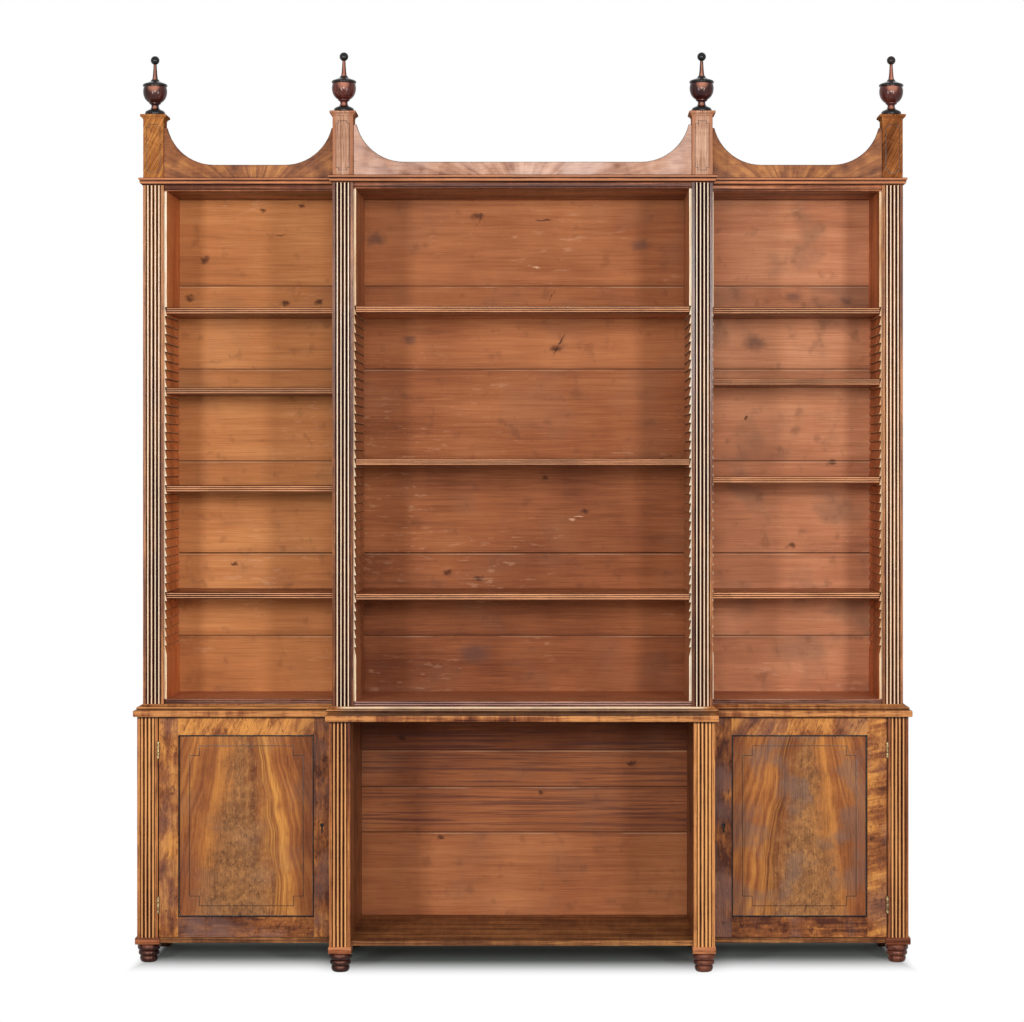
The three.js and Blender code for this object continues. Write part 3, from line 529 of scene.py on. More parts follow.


# On the cornice: painted highlights on the bulge and the fillet, and painted shade in lines under the
# mouldings.
CORNICE_WASHES = (
    (level_lines((2.3342, 2.3445), 0.0034, 0.5), (248, 166, 116)),
    (either(level_lines((2.3165, 2.3295), 0.0021, 0.95), level_lines((2.341,), 0.0026, 0.8),
            level_lines((2.3485,), 0.0024, 0.35)), SOOT),
)
# On the foot of the upper case: painted shade in the quirks and on the sides of the beads, a painted highlight
# on their fronts in the middle bay, and a tone on the level face.
PLINTH_WASHES = (
    (either(level_lines((0.7672, 0.773, 0.779), 0.002, 0.9), bead_flanks), SOOT),
    (pale_beads, (226, 190, 186)), (level_face, (204, 124, 78)),
)
# On the base's top: a grey-brown line, darker level faces, painted shade along and under the moulding, and a
# painted highlight on the moulding's top edge in the middle bay.
TOP_WASHES = (
    (level_lines((0.7612,), 0.0036, 0.75, middle_bay), (128, 104, 86)), (top_dirt, SOOT),
    (level_lines((0.7672,), 0.0027, 1.0, middle_bay), (255, 232, 196)),
    (level_lines((0.7545,), 0.0022, 0.6, middle_bay), SOOT),
)
print("washes:", len(CORNICE_WASHES) + len(PLINTH_WASHES) + len(TOP_WASHES))

# %% Mix the plain finishes
CASE_WOOD = waxed("case_mahogany", (104, 55, 36), (184, 112, 74), (228, 156, 106))
CASE_EDGE = waxed("case_mahogany_edge", (140, 76, 44), (204, 130, 78), (240, 178, 120), lift=0.1)
CORNICE_WOOD = waxed("cornice_mahogany", (104, 55, 36), (184, 112, 74), (228, 156, 106),
                     washes=CORNICE_WASHES)
PLINTH_WOOD = waxed("plinth_mahogany", (70, 38, 32), (130, 80, 66), (180, 124, 100), washes=PLINTH_WASHES)
PLINTH_EDGE = waxed("plinth_mahogany_edge", (92, 54, 44), (156, 102, 82), (204, 150, 120),
                    washes=PLINTH_WASHES)
# Reeds and beads: painted shade in the hollows, and a painted highlight on the crests.
REED_UPPER = waxed("reeded_mahogany_upper", (70, 32, 20), (128, 74, 44), (190, 126, 78), rough=0.32,
                   grime=0.1, coat=0.3, groove=(18, 6, 6), crest=(255, 232, 200))
# The base reeds also get painted shade under the edge of the base's top.
REED_BASE = waxed("reeded_mahogany_base", (92, 44, 26), (160, 95, 52), (210, 140, 80), rough=0.34,
                  grime=0.1, coat=0.3, groove=(40, 17, 14), crest=(240, 178, 112), flank=0.9,
                  washes=((under_the_top, SOOT),))
SHELF_WOOD = waxed("shelf_wood", (104, 54, 36), (176, 106, 70), (216, 146, 100),
                   groove=(62, 28, 20), crest=(248, 184, 136), flank=0.92)
SHELF_EDGE = waxed("shelf_wood_edge", (126, 70, 42), (186, 120, 74), (222, 160, 108), lift=0.05)
LINING_WOOD = waxed("lining_wood", (122, 70, 44), (178, 112, 74), (206, 140, 96), streaks=0.6,
                    washes=((tooth_dirt, SOOT),))
LINING_BRIGHT = waxed("lining_wood_bright", (154, 82, 44), (220, 126, 72), (244, 158, 96), streaks=0.6,
                      washes=((tooth_dirt, SOOT),))
# Near white: a painted highlight on the fronts and the round edges of the linings.
LINING_EDGE = waxed("lining_wood_edge", (214, 164, 116), (250, 220, 180), (255, 242, 218), grime=0.1)
TOP_WOOD = waxed("top_mahogany", (84, 42, 24), (150, 86, 50), (208, 138, 80), shimmer=1.3, washes=TOP_WASHES)
TOP_EDGE = waxed("top_mahogany_edge", (112, 60, 36), (164, 102, 60), (208, 148, 92), shimmer=0.8,
                 washes=TOP_WASHES)
FLOOR_WOOD = waxed("base_floor", (74, 40, 26), (134, 84, 50), (184, 126, 74), shimmer=0.6,
                   washes=((rear_dirt, SOOT),))
# The feet and the urns carry a painted highlight on the faces that look forward and up.
TURNED_WOOD = waxed("turned_mahogany", (32, 14, 14), (66, 32, 26), (116, 64, 46), coat=0.25,
                    polish=(136, 80, 60))
FOOT_BLOCK_WOOD = waxed("foot_block_mahogany", (84, 40, 28), (150, 84, 54), (200, 128, 84))
URN_WOOD = waxed("urn_mahogany", (46, 18, 16), (86, 38, 32), (122, 62, 50), streaks=0.6, rough=0.28,
                 coat=0.4, polish=(222, 148, 120))
EBONISED = waxed("ebonised_wood", (12, 8, 8), (22, 14, 12), (40, 26, 20), streaks=0.5, rough=0.26,
                 grime=0.0, coat=0.2, shine=0.2)
CARCASS_WOOD = waxed("carcass_wood", (90, 52, 34), (136, 82, 52), (170, 110, 72), grime=0.5)
PEDESTAL_WOOD = waxed("pedestal_mahogany", (104, 58, 32), (156, 94, 52), (204, 136, 74), shimmer=0.6,
                      streaks=0.3, coat=0.0, shine=0.0)
# The inner pedestals: paler pinkish tones that are a painted reflection, with the plain browner wood outside
# their line.
PEDESTAL_PALE = waxed("pedestal_mahogany_pale", (148, 104, 80), (192, 146, 120), (220, 178, 152),
                      shimmer=0.5, streaks=0.2, coat=0.0, shine=0.0, washes=((border, (172, 110, 78)),))
PEDESTAL_EDGE = waxed("pedestal_edge", (110, 56, 38), (166, 94, 60), (212, 140, 94), coat=0.0, shine=0.0)
CREST_EDGE = waxed("crest_edge", (66, 38, 28), (104, 66, 50), (150, 104, 80), coat=0.0, shine=0.0)
print("finishes now:", len(bpy.data.materials))

# %% [markdown]
# ## Veneers with a figure
# The door panels are cut through the fork of a tree, where the fibres flare out like a flame. The
# figure is drawn as sums on the place of a point in its panel: streaks that lean away from the
# middle line, and a mottled body between them. The crest panels show a fan instead.


# %% Make the flame veneer
def flame(name, panel):
    """The door panels mirror each other, so the figure is measured from the middle of the right one."""
    low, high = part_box(panel)
    middle_x, middle_z = (low[0] + high[0]) / 2, (low[2] + high[2]) / 2
    paint = Wood(name)
    x, z = paint.x, paint.z
    sway = (paint.clouds(4.0, 3.0) - 0.5) * 0.07
    side = abs(x) - middle_x - 0.02 + sway
    rise = (z - middle_z) / ((high[2] - low[2]) / 2)
    lean = side / (0.8 - rise * 0.3)
    leaned = paint.joined(lean * 60.0, paint.tint * 9.0, z * 1.5)
    streak = paint.noise(leaned, 1.0, 6.0, 0.6, 0.15)
    broad = paint.noise(leaned, 0.22, 3.0)
    plumed = paint.joined(side * 30.0, 4.0, (z - abs(side) * 1.5) * 95.0)
    plume = paint.noise(plumed, 1.0, 5.0, warp=0.8)
    mottle = paint.clouds(60.0, 6.0)
    patches = paint.clouds(11.0, 3.0)
    tone = 0.5 + (streak - 0.5) * 0.6 + (broad - 0.5) * 0.7 + (patches - 0.5) * 0.4
    wings = paint.tones(tone, (104, 54, 30), (152, 88, 46), (196, 126, 62))
    inside = mottle * 0.45 + plume * 0.12 + streak * 0.18 + patches * 0.25
    body = paint.tones(inside, (96, 58, 36), (150, 100, 60), (196, 136, 80))
    width = 0.068 - rise * 0.045
    wander = (mottle - 0.5) * 0.06 + (patches - 0.5) * 0.08
    inner = 1.0 - abs(side + wander).step(width - 0.05, width + 0.03)
    paint.colour = paint.blend(inner, wings, body)
    right_door = x.step(0.0, 0.01)
    gold = 1.0 - abs(lean + 0.125 + (patches - 0.5) * 0.08).step(0.015, 0.05)
    paint.lay(gold * streak.step(0.42, 0.6) * (0.75 - right_door * 0.35), (218, 150, 74))
    paint.lay(paint.crinkles(190.0).step(0.56, 0.66) * (0.25 + inner * 0.5) * 0.7, (214, 150, 88))
    cracks = (0.44 - paint.crinkles(140.0)).step(0.0, 0.07) * (0.2 + inner * 0.6)
    paint.lay(cracks * 0.7, (66, 40, 30))
    paint.lay(paint.clouds(9.0, 3.0).step(0.46, 0.64) * (0.22 + right_door * 0.38), (126, 98, 84))
    paint.lay(abs(abs(x) - middle_x).step(0.13, 0.2) * 0.35, (124, 66, 42))
    fine = paint.pores(0.2, (110, 66, 40))
    return paint.finished(0.36 + (paint.clouds(14.0, 3.0) - 0.5) * 0.2, fine, 0.15)


def curly(name, *colours, haze):
    """The veneer of a door frame: wavy streaks with curls across them and a grey-purple haze in places."""
    paint = Wood(name)
    drift = paint.noise(paint.shifted(3.0), 9.0, 3.0, output=1)
    sway = paint.vector("ADD", paint.place, paint.scaled(drift, 0.035))
    waves = paint.fibres(60.0, 5.0, detail=5.0, warp=0.6, place=sway)
    broad = paint.fibres(14.0, 3.0, detail=3.0, warp=0.8, place=sway)
    patches = paint.clouds(13.0, 3.0)
    curls = paint.crinkles(95.0)
    tone = 0.5 + (waves - 0.5) * 0.7 + (broad - 0.5) * 0.5 + (patches - 0.5) * 0.6 + (curls - 0.5) * 0.4
    paint.colour = paint.tones(tone + paint.tint * 0.14, *colours)
    paint.lay(paint.clouds(7.0, 3.0).step(0.44, 0.62) * (haze - paint.tint * 0.3), (124, 92, 84))
    paint.lay((0.4 - curls).step(0.0, 0.08) * 0.6, (74, 40, 28))
    fine = paint.pores(0.2, (110, 66, 40))
    # Painted shade under the edge of the base's top.
    paint.lay(under_the_top(paint), SOOT)
    return paint.finished(0.36 + (patches - 0.5) * 0.2, fine, 0.1)


DOOR_WOOD = curly("door_mahogany", (84, 44, 30), (152, 90, 50), (214, 144, 74), haze=0.45)
FLAME = flame("flame_mahogany", "door_panel_right")
print("figured finishes:", DOOR_WOOD.name, FLAME.name)


# %% Make the fan veneer of the crest
def fan(name, *colours, middle_x, pale):
    """Streaks that spread from a point under the middle of a crest panel."""
    paint = Wood(name)
    x, z = paint.x, paint.z
    across = abs(x) - middle_x if middle_x else x
    angle = (across / (z - 2.27)).of("ARCTANGENT")
    swept = paint.joined(angle * 22.0, paint.tint * 7.0, z * 5.0)
    streak = paint.noise(swept, 1.0, 4.0, warp=0.4)
    broad = paint.noise(swept, 0.35, 2.0)
    mottle = paint.clouds(26.0, 4.0)
    broken = (streak - 0.5) * (0.1 + paint.clouds(12.0, 2.0) * 0.7)
    tone = 0.5 + broken + (broad - 0.5) * 0.5 + (mottle - 0.5) * 0.6 - abs(angle) * 0.04 + 0.03
    paint.colour = paint.tones(tone, *colours)
    # A painted reflection: pale patches, strongest towards the middle.
    faded = paint.clouds(7.0, 4.0).step(0.4, 0.6) * pale * (1.0 - abs(x).step(0.2, 0.42) * 0.4)
    paint.lay(faded, (222, 188, 174))
    fine = paint.pores(0.25, (120, 76, 52))
    return paint.finished(0.4 + (paint.clouds(14.0, 3.0) - 0.5) * 0.2, fine, 0.05)


CREST_MIDDLE = sum(corner[0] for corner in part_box("crest_panel_right")) / 2
CREST_WING = fan("fan_mahogany_wing", (98, 56, 38), (150, 92, 56), (198, 132, 74),
                 middle_x=CREST_MIDDLE, pale=0.05)
# The middle panel's paler tones and pale patches are a painted reflection.
CREST_CENTRE = fan("fan_mahogany_centre", (140, 92, 70), (188, 138, 112), (220, 176, 150),
                   middle_x=0.0, pale=0.65)
print("crest finishes:", CREST_WING.name, CREST_CENTRE.name)

# %% [markdown]
# ## Stained pine backs
# The backs are wide pine boards under a thin red-brown wash. They are paler in the left bay, and
# redder in the middle. Knots and old stains show through, and each is a round mask with its own
# place, drawn out a little along the grain.

# %% Make the pine finish
KNOTS = [
    (0.101, 1.852, 0.016), (-0.240, 1.153, 0.013), (-0.144, 2.262, 0.018), (-0.144, 1.134, 0.014),
    (-0.994, 2.125, 0.014), (-1.042, 2.004, 0.015), (-0.742, 1.991, 0.013), (-0.638, 1.994, 0.012),
    (0.064, 1.447, 0.010), (0.190, 1.345, 0.012), (-0.811, 2.280, 0.010), (-0.690, 2.294, 0.010),
    (0.830, 1.236, 0.012), (0.955, 1.494, 0.012), (0.688, 1.634, 0.006), (-0.900, 1.180, 0.011),
    (0.330, 0.560, 0.013), (-0.260, 0.330, 0.012), (-0.380, 0.640, 0.014), (0.050, 0.470, 0.010),
]
STAINS = [(-0.155, 0.904, 0.050), (0.36, 2.17, 0.03), (-0.46, 2.19, 0.03), (0.719, 1.866, 0.035),
          (0.837, 2.010, 0.028), (1.000, 2.000, 0.020), (-0.36, 1.875, 0.022)]
CRACKS = [(0.108, 1.862, 0.042), (0.085, 2.012, 0.024), (-0.138, 2.250, 0.022), (-0.700, 2.020, 0.012)]
GASHES = [(0.060, 2.249, 0.004), (0.440, 1.512, 0.003), (-0.760, 2.200, 0.003)]
SCUFFS = [(-0.015, 2.187, 0.020), (0.030, 2.105, 0.012), (-0.300, 2.060, 0.010), (0.160, 1.330, 0.030)]
DIVISION_X = 0.534


def spots(paint, places, stretch, edge, slant=0.0):
    """A mask of round spots, each with its own middle, as x and z, and its own size."""
    wander = (paint.clouds(45.0, 3.0) - 0.5) * 0.03
    found = []
    for middle_x, middle_z, radius in places:
        down = paint.z + wander - middle_z
        square = ((paint.x + wander - middle_x - down * slant) / stretch) ** 2.0 + down ** 2.0
        found.append(1.0 - (square ** 0.5 / radius).step(edge, 1.0))
    return greatest(found)


def pine(name, lift, joints):
    paint = Wood(name)
    x, z = paint.x, paint.z
    bands = paint.fibres(16.0, 1.0, detail=4.0, warp=0.5)
    lines = paint.fibres(110.0, 2.6, detail=5.0, warp=0.4)
    hair = paint.fibres(420.0, 9.0, detail=3.0)
    wash = paint.clouds(2.8, 5.0)
    tone = 0.5 + (bands - 0.5) * 0.25 + (lines - 0.5) * 0.2 + (hair - 0.5) * 0.3 + (wash - 0.5) * 0.5
    front = paint.front.step(0.0, 0.5)
    left_bay = (1.0 - (x + DIVISION_X).step(-0.03, 0.03)) * front
    right_bay = (x - DIVISION_X).step(-0.03, 0.03) * front
    tone = tone + paint.tint * 0.1 * (1.0 - left_bay * 0.7 - right_bay * 0.7) + lift
    redder = paint.tones(tone, (108, 56, 32), (156, 92, 56), (190, 122, 78))
    paler = paint.tones(tone, (150, 90, 50), (190, 122, 72), (218, 152, 96))
    pinker = paint.tones(tone, (144, 88, 62), (188, 122, 86), (218, 154, 114))
    paint.colour = paint.blend(left_bay, paint.blend(right_bay, redder, pinker), paler)
    paint.lay(paint.clouds(5.5, 4.0).step(0.5, 0.68) * (0.2 + right_bay * 0.35), (136, 98, 76))
    paint.lay(spots(paint, KNOTS, 1.5, 0.25) * (0.5 + lines * 0.6), (70, 36, 26))
    paint.lay(spots(paint, STAINS, 1.5, 0.1) * (wash + lines) * 0.6, (84, 62, 58))
    cracks = greatest([spots(paint, CRACKS, 0.12, 0.3, 0.5), spots(paint, GASHES, 9.0, 0.4)])
    paint.lay(cracks * hair.step(0.4, 0.5) * 0.85, (40, 20, 14))
    paint.lay(paint.fibres(34.0, 2.2, detail=5.0).step(0.6, 0.7) * 0.2, (100, 54, 36))
    weathered = (z - 0.34).step(0.0, 0.04) * z.of("LESS_THAN", 0.76)
    furrows = paint.fibres(120.0, 2.4, detail=6.0, warp=0.6).step(0.46, 0.62)
    paint.lay(furrows * weathered * 0.62, (72, 40, 40))
    worn = spots(paint, SCUFFS, 2.0, 0.0) * 1.4 + paint.clouds(3.0, 2.0).step(0.5, 0.62) * 0.25
    scuffs = paint.fibres(90.0, 22.0, detail=4.0).step(0.58, 0.68) * worn
    paint.lay(scuffs * z.of("GREATER_THAN", 0.78) * 0.7, (236, 190, 154))
    paint.lay(paint.clouds(22.0, 6.0).step(0.58, 0.72) * 0.25, (92, 52, 38))
    specks = paint.crinkles(150.0).step(0.66, 0.72) * paint.clouds(6.0, 2.0).step(0.4, 0.6)
    paint.lay(specks * 0.45, (78, 42, 30))
    paint.lay(level_lines(joints, 0.02, 0.12)(paint), (70, 36, 26))
    paint.lay(level_lines(joints, 0.0022, 0.6)(paint), (44, 20, 14))
    lips = level_lines([joint - 0.0042 for joint in joints], 0.0022, 0.25)(paint)
    paint.lay(lips * paint.fibres(9.0, 5.0).step(0.4, 0.6), (236, 196, 160))
    return paint.finished(0.62 + (wash - 0.5) * 0.2, lines, 0.0, 0.1)


def joint_heights(node, joints):
    return [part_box(node)[0][2] + joint for joint in joints]


UPPER_JOINTS = (0.204, 0.460, 0.746, 1.031, 1.289)
BASE_JOINTS = (0.272, 0.413, 0.527)
PINE_UPPER = pine("stained_pine_upper", 0.0, joint_heights("upper_back_boards", UPPER_JOINTS))
PINE_BASE = pine("stained_pine_base", -0.1, joint_heights("base_back_boards", BASE_JOINTS))
print("pine nodes:", len(PINE_UPPER.node_tree.nodes), "knots:", len(KNOTS))

# %% [markdown]
# ## Brass
# The hinges are cast brass that has gone brown where no hand rubs it. Metal gets its colour from
# Base Color at full Metallic, and the tarnish is a cloud that dulls both colour and gloss.


# %% Make the brass finish
def worn_brass():
    paint = Wood("worn_brass")
    tarnish = paint.clouds(160.0, 4.0).step(0.36, 0.6)
    colour = paint.blend(tarnish, (0.6, 0.43, 0.2, 1.0), (0.14, 0.09, 0.05, 1.0))
    skin = paint.node("ShaderNodeBsdfPrincipled", {
        "Base Color": colour, "Metallic": 1.0, "Roughness": 0.28 + tarnish * 0.3})
    paint.node("ShaderNodeOutputMaterial", {"Surface": skin})
    return paint.material


BRASS = worn_brass()
print("metal:", BRASS.name)

# %% [markdown]
# ## Eased copies of the boards
# A joiner takes the sharp arris off every board, and that thin round edge is what catches the
# light. A frame solid is loose triangles, so its copy is merged, its flat faces are dissolved
# back into whole polygons, and a Bevel rounds the edges. The round faces get the lighter edge
# finish, as a worn edge has. On the linings that edge finish, which also covers their fronts,
# is near white: a painted highlight.


# %% Copy, merge and ease a board
def cad_copy(node, cuts):
    """The node's shape with whole flat faces. A cut, as a point and a direction, stays as a seam."""
    shape = bmesh.new()
    shape.from_mesh(frame["nodes"][node].data)
    bmesh.ops.remove_doubles(shape, verts=shape.verts, dist=2e-5)
    for place, normal in cuts:
        everything = shape.verts[:] + shape.edges[:] + shape.faces[:]
        cut = bmesh.ops.bisect_plane(shape, geom=everything, plane_co=place, plane_no=normal, dist=1e-6)
        for element in cut["geom_cut"]:
            if isinstance(element, bmesh.types.BMEdge):
                element.seam = True
    bmesh.ops.dissolve_limit(shape, angle_limit=math.radians(0.4), verts=shape.verts, edges=shape.edges,
                             delimit={"SEAM"})
    return shape


def mesh_of(shape, name, *materials):
    """Turns a bmesh, which isn't needed after it, into a mesh with these materials."""
    mesh = bpy.data.meshes.new(name)
    shape.to_mesh(mesh)
    shape.free()
    for material in materials:
        mesh.materials.append(material)
    return mesh


def baked(piece):
    """The piece with its modifiers worked into a plain mesh."""
    graph = bpy.context.evaluated_depsgraph_get()
    mesh = bpy.data.meshes.new_from_object(piece.evaluated_get(graph), preserve_all_data_layers=True,
                                           depsgraph=graph)
    piece.modifiers.clear()
    if piece.type == "MESH":
        piece.data = mesh
        mesh.name = piece.name
        return piece
    result = new_object(piece.name + "_mesh", mesh)
    bpy.data.objects.remove(piece)
    return result


def ride_with(piece, node):
    """The piece rides where the node rides."""
    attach(piece, BODY_OF[node])
    return piece


def seat(piece, node):
    """The piece also stands for the node."""
    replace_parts(ride_with(piece, node), node)
    return piece


def eased(node, wood, edge, rule, width=0.0009, cuts=(), outside=None):
    """A copy of a node with round edges. A face with a hole in it has to be cut through the hole.

    With a wood for the outside, the front faces take the edge finish, which on the linings is a painted
    highlight, and that wood is on the side away from the middle.
    """
    mesh = mesh_of(cad_copy(node, cuts), node + "_eased", wood, edge)
    mesh.shade_smooth()
    piece = new_object(node + "_eased", mesh)
    bevel = piece.modifiers.new("ease", "BEVEL")
    bevel.width = width
    bevel.segments = 2
    bevel.limit_method = "ANGLE"
    bevel.angle_limit = math.radians(30.0)
    bevel.material = 1
    bevel.use_clamp_overlap = True
    piece.modifiers.new("flat_faces", "WEIGHTED_NORMAL").mode = "FACE_AREA"
    piece = baked(piece)
    if outside:
        piece.data.materials.append(outside)
        for face in piece.data.polygons:
            if face.normal.y < -0.9:
                face.material_index = 1
            elif abs(face.center.x) > OUTER_SIDE and face.normal.x * face.center.x > 0.5:
                face.material_index = 2
    lay_grain(piece.data, rule)
    return seat(piece, node)


OUTER_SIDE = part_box("upper_end_right")[1][0] - 0.002
FINE = 0.0006
eased("base_top_board", TOP_WOOD, TOP_EDGE, one_board(ALONG_X, "base_top_board"))
eased("base_bottom_board", FLOOR_WOOD, FLOOR_WOOD, one_board(ALONG_X, "base_bottom_board"))
eased("upper_bottom_board", PLINTH_WOOD, PLINTH_EDGE, one_board(ALONG_X, "upper_bottom_board"), FINE)
eased("upper_top_and_cornice", CORNICE_WOOD, CORNICE_WOOD, one_board(ALONG_X, "upper_top_and_cornice"), FINE)
for side in SIDES:
    eased("base_end_" + side, CASE_WOOD, CASE_EDGE, one_board(ALONG_Z, "base_end" + side))
    eased("base_division_" + side, CARCASS_WOOD, SHELF_EDGE, one_board(ALONG_Z, "division" + side))
    eased("upper_end_" + side, LINING_BRIGHT, LINING_EDGE, one_board(ALONG_Z, "end" + side), FINE,
          outside=CASE_WOOD)
    eased("upper_division_" + side, LINING_WOOD, LINING_EDGE, one_board(ALONG_Z, "tall" + side), FINE,
          outside=CASE_WOOD)


# %% Dress the backs, one board at a time
def make_back(node, wood, joints, tints):
    """Boards that lie on each other, with joints at these heights above the foot of the back."""
    low_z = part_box(node)[0][2]

    def rule(centre):
        number = sum(centre.z > low_z + joint for joint in joints)
        return ALONG_X, f"{node}{number}", tints[number]

    return eased(node, wood, wood, rule, 0.0005, [((0, 0, low_z + joint), (0, 0, 1)) for joint in joints])


# The given tints make the upper planks paler towards the head and the lower planks darker towards the head;
# both stand partly for how the light falls in the bays, as painted light and shade.
make_back("upper_back_boards", PINE_UPPER, UPPER_JOINTS, (-0.9, -0.6, -0.3, 0.0, 0.3, 0.6))
make_back("base_back_boards", PINE_BASE, BASE_JOINTS, (1.5, 1.0, 0.6, -0.5))
print("planks:", len(UPPER_JOINTS) + 1, "above and", len(BASE_JOINTS) + 1, "below")

# %% [markdown]
# ## Reeded boards
# A reeded pilaster is a flat board with half-round reeds planed along it, between two flat
# fillets, and the beaded edge of a shelf is the same thing laid on its side. The shape follows a
# rule, so one Geometry Nodes tree makes both: a Cube with many columns, whose front points are
# moved to where the reeds put them. The tree also marks which faces are reeds.


# %% Build the reeding tree
def tree_with_inputs(name, inputs):
    """A shape's tree: its graph, its inputs as signals, and the identifier of each input."""
    tree = bpy.data.node_groups.new(name, "GeometryNodeTree")
    sockets = {}
    for label, (kind, default) in inputs.items():
        socket = tree.interface.new_socket(label, in_out="INPUT", socket_type="NodeSocket" + kind)
        if default is not None:
            socket.default_value = default
        sockets[label] = socket.identifier
    tree.interface.new_socket("Geometry", in_out="OUTPUT", socket_type="NodeSocketGeometry")
    graph = Graph(tree)
    entry = tree.nodes.new("NodeGroupInput")
    return graph, {label: Signal(graph, entry.outputs[label]) for label in inputs}, sockets


def shade(graph, geometry, degrees):
    """Smooth faces, with edges kept crisp where they turn by more than so many degrees."""
    angle = graph.node("GeometryNodeInputMeshEdgeAngle")
    geometry = graph.node("GeometryNodeSetShadeSmooth", {"Geometry": geometry}, domain="FACE")
    crisp = graph.node("FunctionNodeCompare", {0: angle, 1: math.radians(degrees)},
                       data_type="FLOAT", operation="GREATER_THAN")
    return graph.node("GeometryNodeSetShadeSmooth",
                      {"Geometry": geometry, "Selection": crisp, "Shade Smooth": False}, domain="EDGE")


def leave(graph, geometry, material):
    """Ends a shape's tree as one real mesh with its material."""
    geometry = graph.node("GeometryNodeRealizeInstances", {"Geometry": geometry})
    geometry = graph.node("GeometryNodeSetMaterial", {"Geometry": geometry, "Material": material})
    graph.tree.links.new(geometry.socket, graph.tree.nodes.new("NodeGroupOutput").inputs[0])


def reeding_tree(name, material, steps=8):
    graph, given, sockets = tree_with_inputs(name, {
        "Width": ("Float", 0.062), "Thickness": ("Float", 0.022), "Length": ("Float", 0.66),
        "Reeds": ("Int", 4), "Fillet": ("Float", 0.009), "Relief": ("Float", 0.005),
        "Arris": ("Float", 0.0006), "Turn": ("Vector", None), "Place": ("Vector", None)})
    width, reeds, fillet, arris = given["Width"], given["Reeds"], given["Fillet"], given["Arris"]
    columns = reeds * steps + 4
    size = graph.joined(width, given["Thickness"], given["Length"])
    board = graph.node("GeometryNodeMeshCube", {"Size": size, "Vertices X": columns + 1})
    x, y, z = graph.axes(graph.node("GeometryNodeInputPosition"))
    column = ((x / width + 0.5) * columns).of("ROUND")
    from_left = (2.0 - column).clamp(0.0, 2.0)
    from_right = (column - (columns - 2.0)).clamp(0.0, 2.0)
    reed = ((column - 2.0) / steps).clamp(0.0, reeds)
    whole = reed.of("FLOOR")
    turn = (reed - whole) * math.pi
    pitch = (width - fillet * 2.0) / reeds
    across = pitch * (whole + (1.0 - turn.of("COSINE")) * 0.5)

    def beyond(count):
        """How far a column stands outside the reeds: an arris first, and then the fillet."""
        return count.clamp(0.0, 1.0) * arris + (count - 1.0).clamp(0.0, 1.0) * (fillet - arris)

    inside = (1.0 - from_left.clamp(0.0, 1.0)) * (1.0 - from_right.clamp(0.0, 1.0))
    depth = (1.0 - turn.of("SINE")) * inside * y.of("LESS_THAN", 0.0)
    spot = graph.joined(fillet - width * 0.5 + across - beyond(from_left) + beyond(from_right),
                        y + depth * given["Relief"], z)
    board = graph.node("GeometryNodeSetPosition", {"Geometry": board, "Position": spot})
    reeded = abs(x).of("LESS_THAN", width * 0.5 - fillet) * y.of("LESS_THAN", 0.0)
    board = graph.node("GeometryNodeStoreNamedAttribute", {"Geometry": board, "Name": "reed", "Value": reeded},
                       data_type="FLOAT", domain="FACE")
    board = graph.node("GeometryNodeTransform", {
        "Geometry": shade(graph, board, 62.0), "Translation": given["Place"], "Rotation": given["Turn"]})
    leave(graph, board, material)
    return graph.tree, sockets


def grown(name, tree, sockets, values, start=None):
    """A plain mesh made by a tree, with its named inputs set."""
    piece = start or new_object(name, bpy.data.meshes.new(name))
    modifier = piece.modifiers.new("grow", "NODES")
    modifier.node_group = tree
    for label, value in values.items():
        modifier[sockets[label]] = value
    return baked(piece)


REEDING = {
    "base": reeding_tree("base_pilaster_tree", REED_BASE),
    "upper": reeding_tree("upper_pilaster_tree", REED_UPPER),
    "shelf": reeding_tree("beaded_shelf_tree", SHELF_WOOD),
}
for part, (tree, sockets) in REEDING.items():
    print(part, "tree:", len(tree.nodes), "nodes,", len(sockets), "inputs")


# %% Grow the pilasters and the shelves
def make_reeded(part, node, name, direction, *tint, **values):
    """Grows a reeded board as large as its node. A shelf lies, so its height is the board's width."""
    low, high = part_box(node)
    middle = [(a + b) / 2 for a, b in zip(low, high)]
    x, y, z = [b - a for a, b in zip(low, high)]
    width, length = (x, z) if direction == ALONG_Z else (z, x)
    piece = grown(name, *REEDING[part],
                  {"Width": width, "Thickness": y, "Length": length, "Place": middle, **values})
    lay_grain(piece.data, one_board(direction, node, *tint))
    return seat(piece, node)


REEDS = {"Reeds": 4, "Fillet": 0.009, "Relief": 0.005, "Arris": 0.0006}
BEADS = {"Reeds": 3, "Fillet": 0.0005, "Relief": 0.0026, "Arris": 0.0003, "Turn": (0.0, -math.pi / 2, 0.0)}
PILASTER_TINTS = {"base": (0.2, -0.1, 1.3, -0.1), "upper": (0.7, -0.5, -0.5, 0.7)}
pilasters = []
for part, tints in PILASTER_TINTS.items():
    for place, tint in zip(PLACES, tints):
        node = f"{part}_pilaster_{place}"
        pilasters.append(make_reeded(part, node, node + "_reeded", ALONG_Z, tint, **REEDS))
shelves = [make_reeded("shelf", node, node + "_beaded", ALONG_X, **BEADS)
           for node in BODY_OF if node.startswith("shelf_")]
print("pilasters:", len(pilasters), "faces each:", len(pilasters[0].data.polygons), "shelves:", len(shelves))

# %% [markdown]
# ## The doors
# A door frame has two stiles that run its full height, and two rails between them, so its copy
# is cut along the joints and each part gets its own grain. A black bead lies round the panel,
# where the frame's inner edge throws its shadow, so its black is partly painted shade. A dark line
# is let into the veneer. Both follow a path, so they are Geometry Nodes strips. The walls of the
# keyhole take the black finish as painted shade.

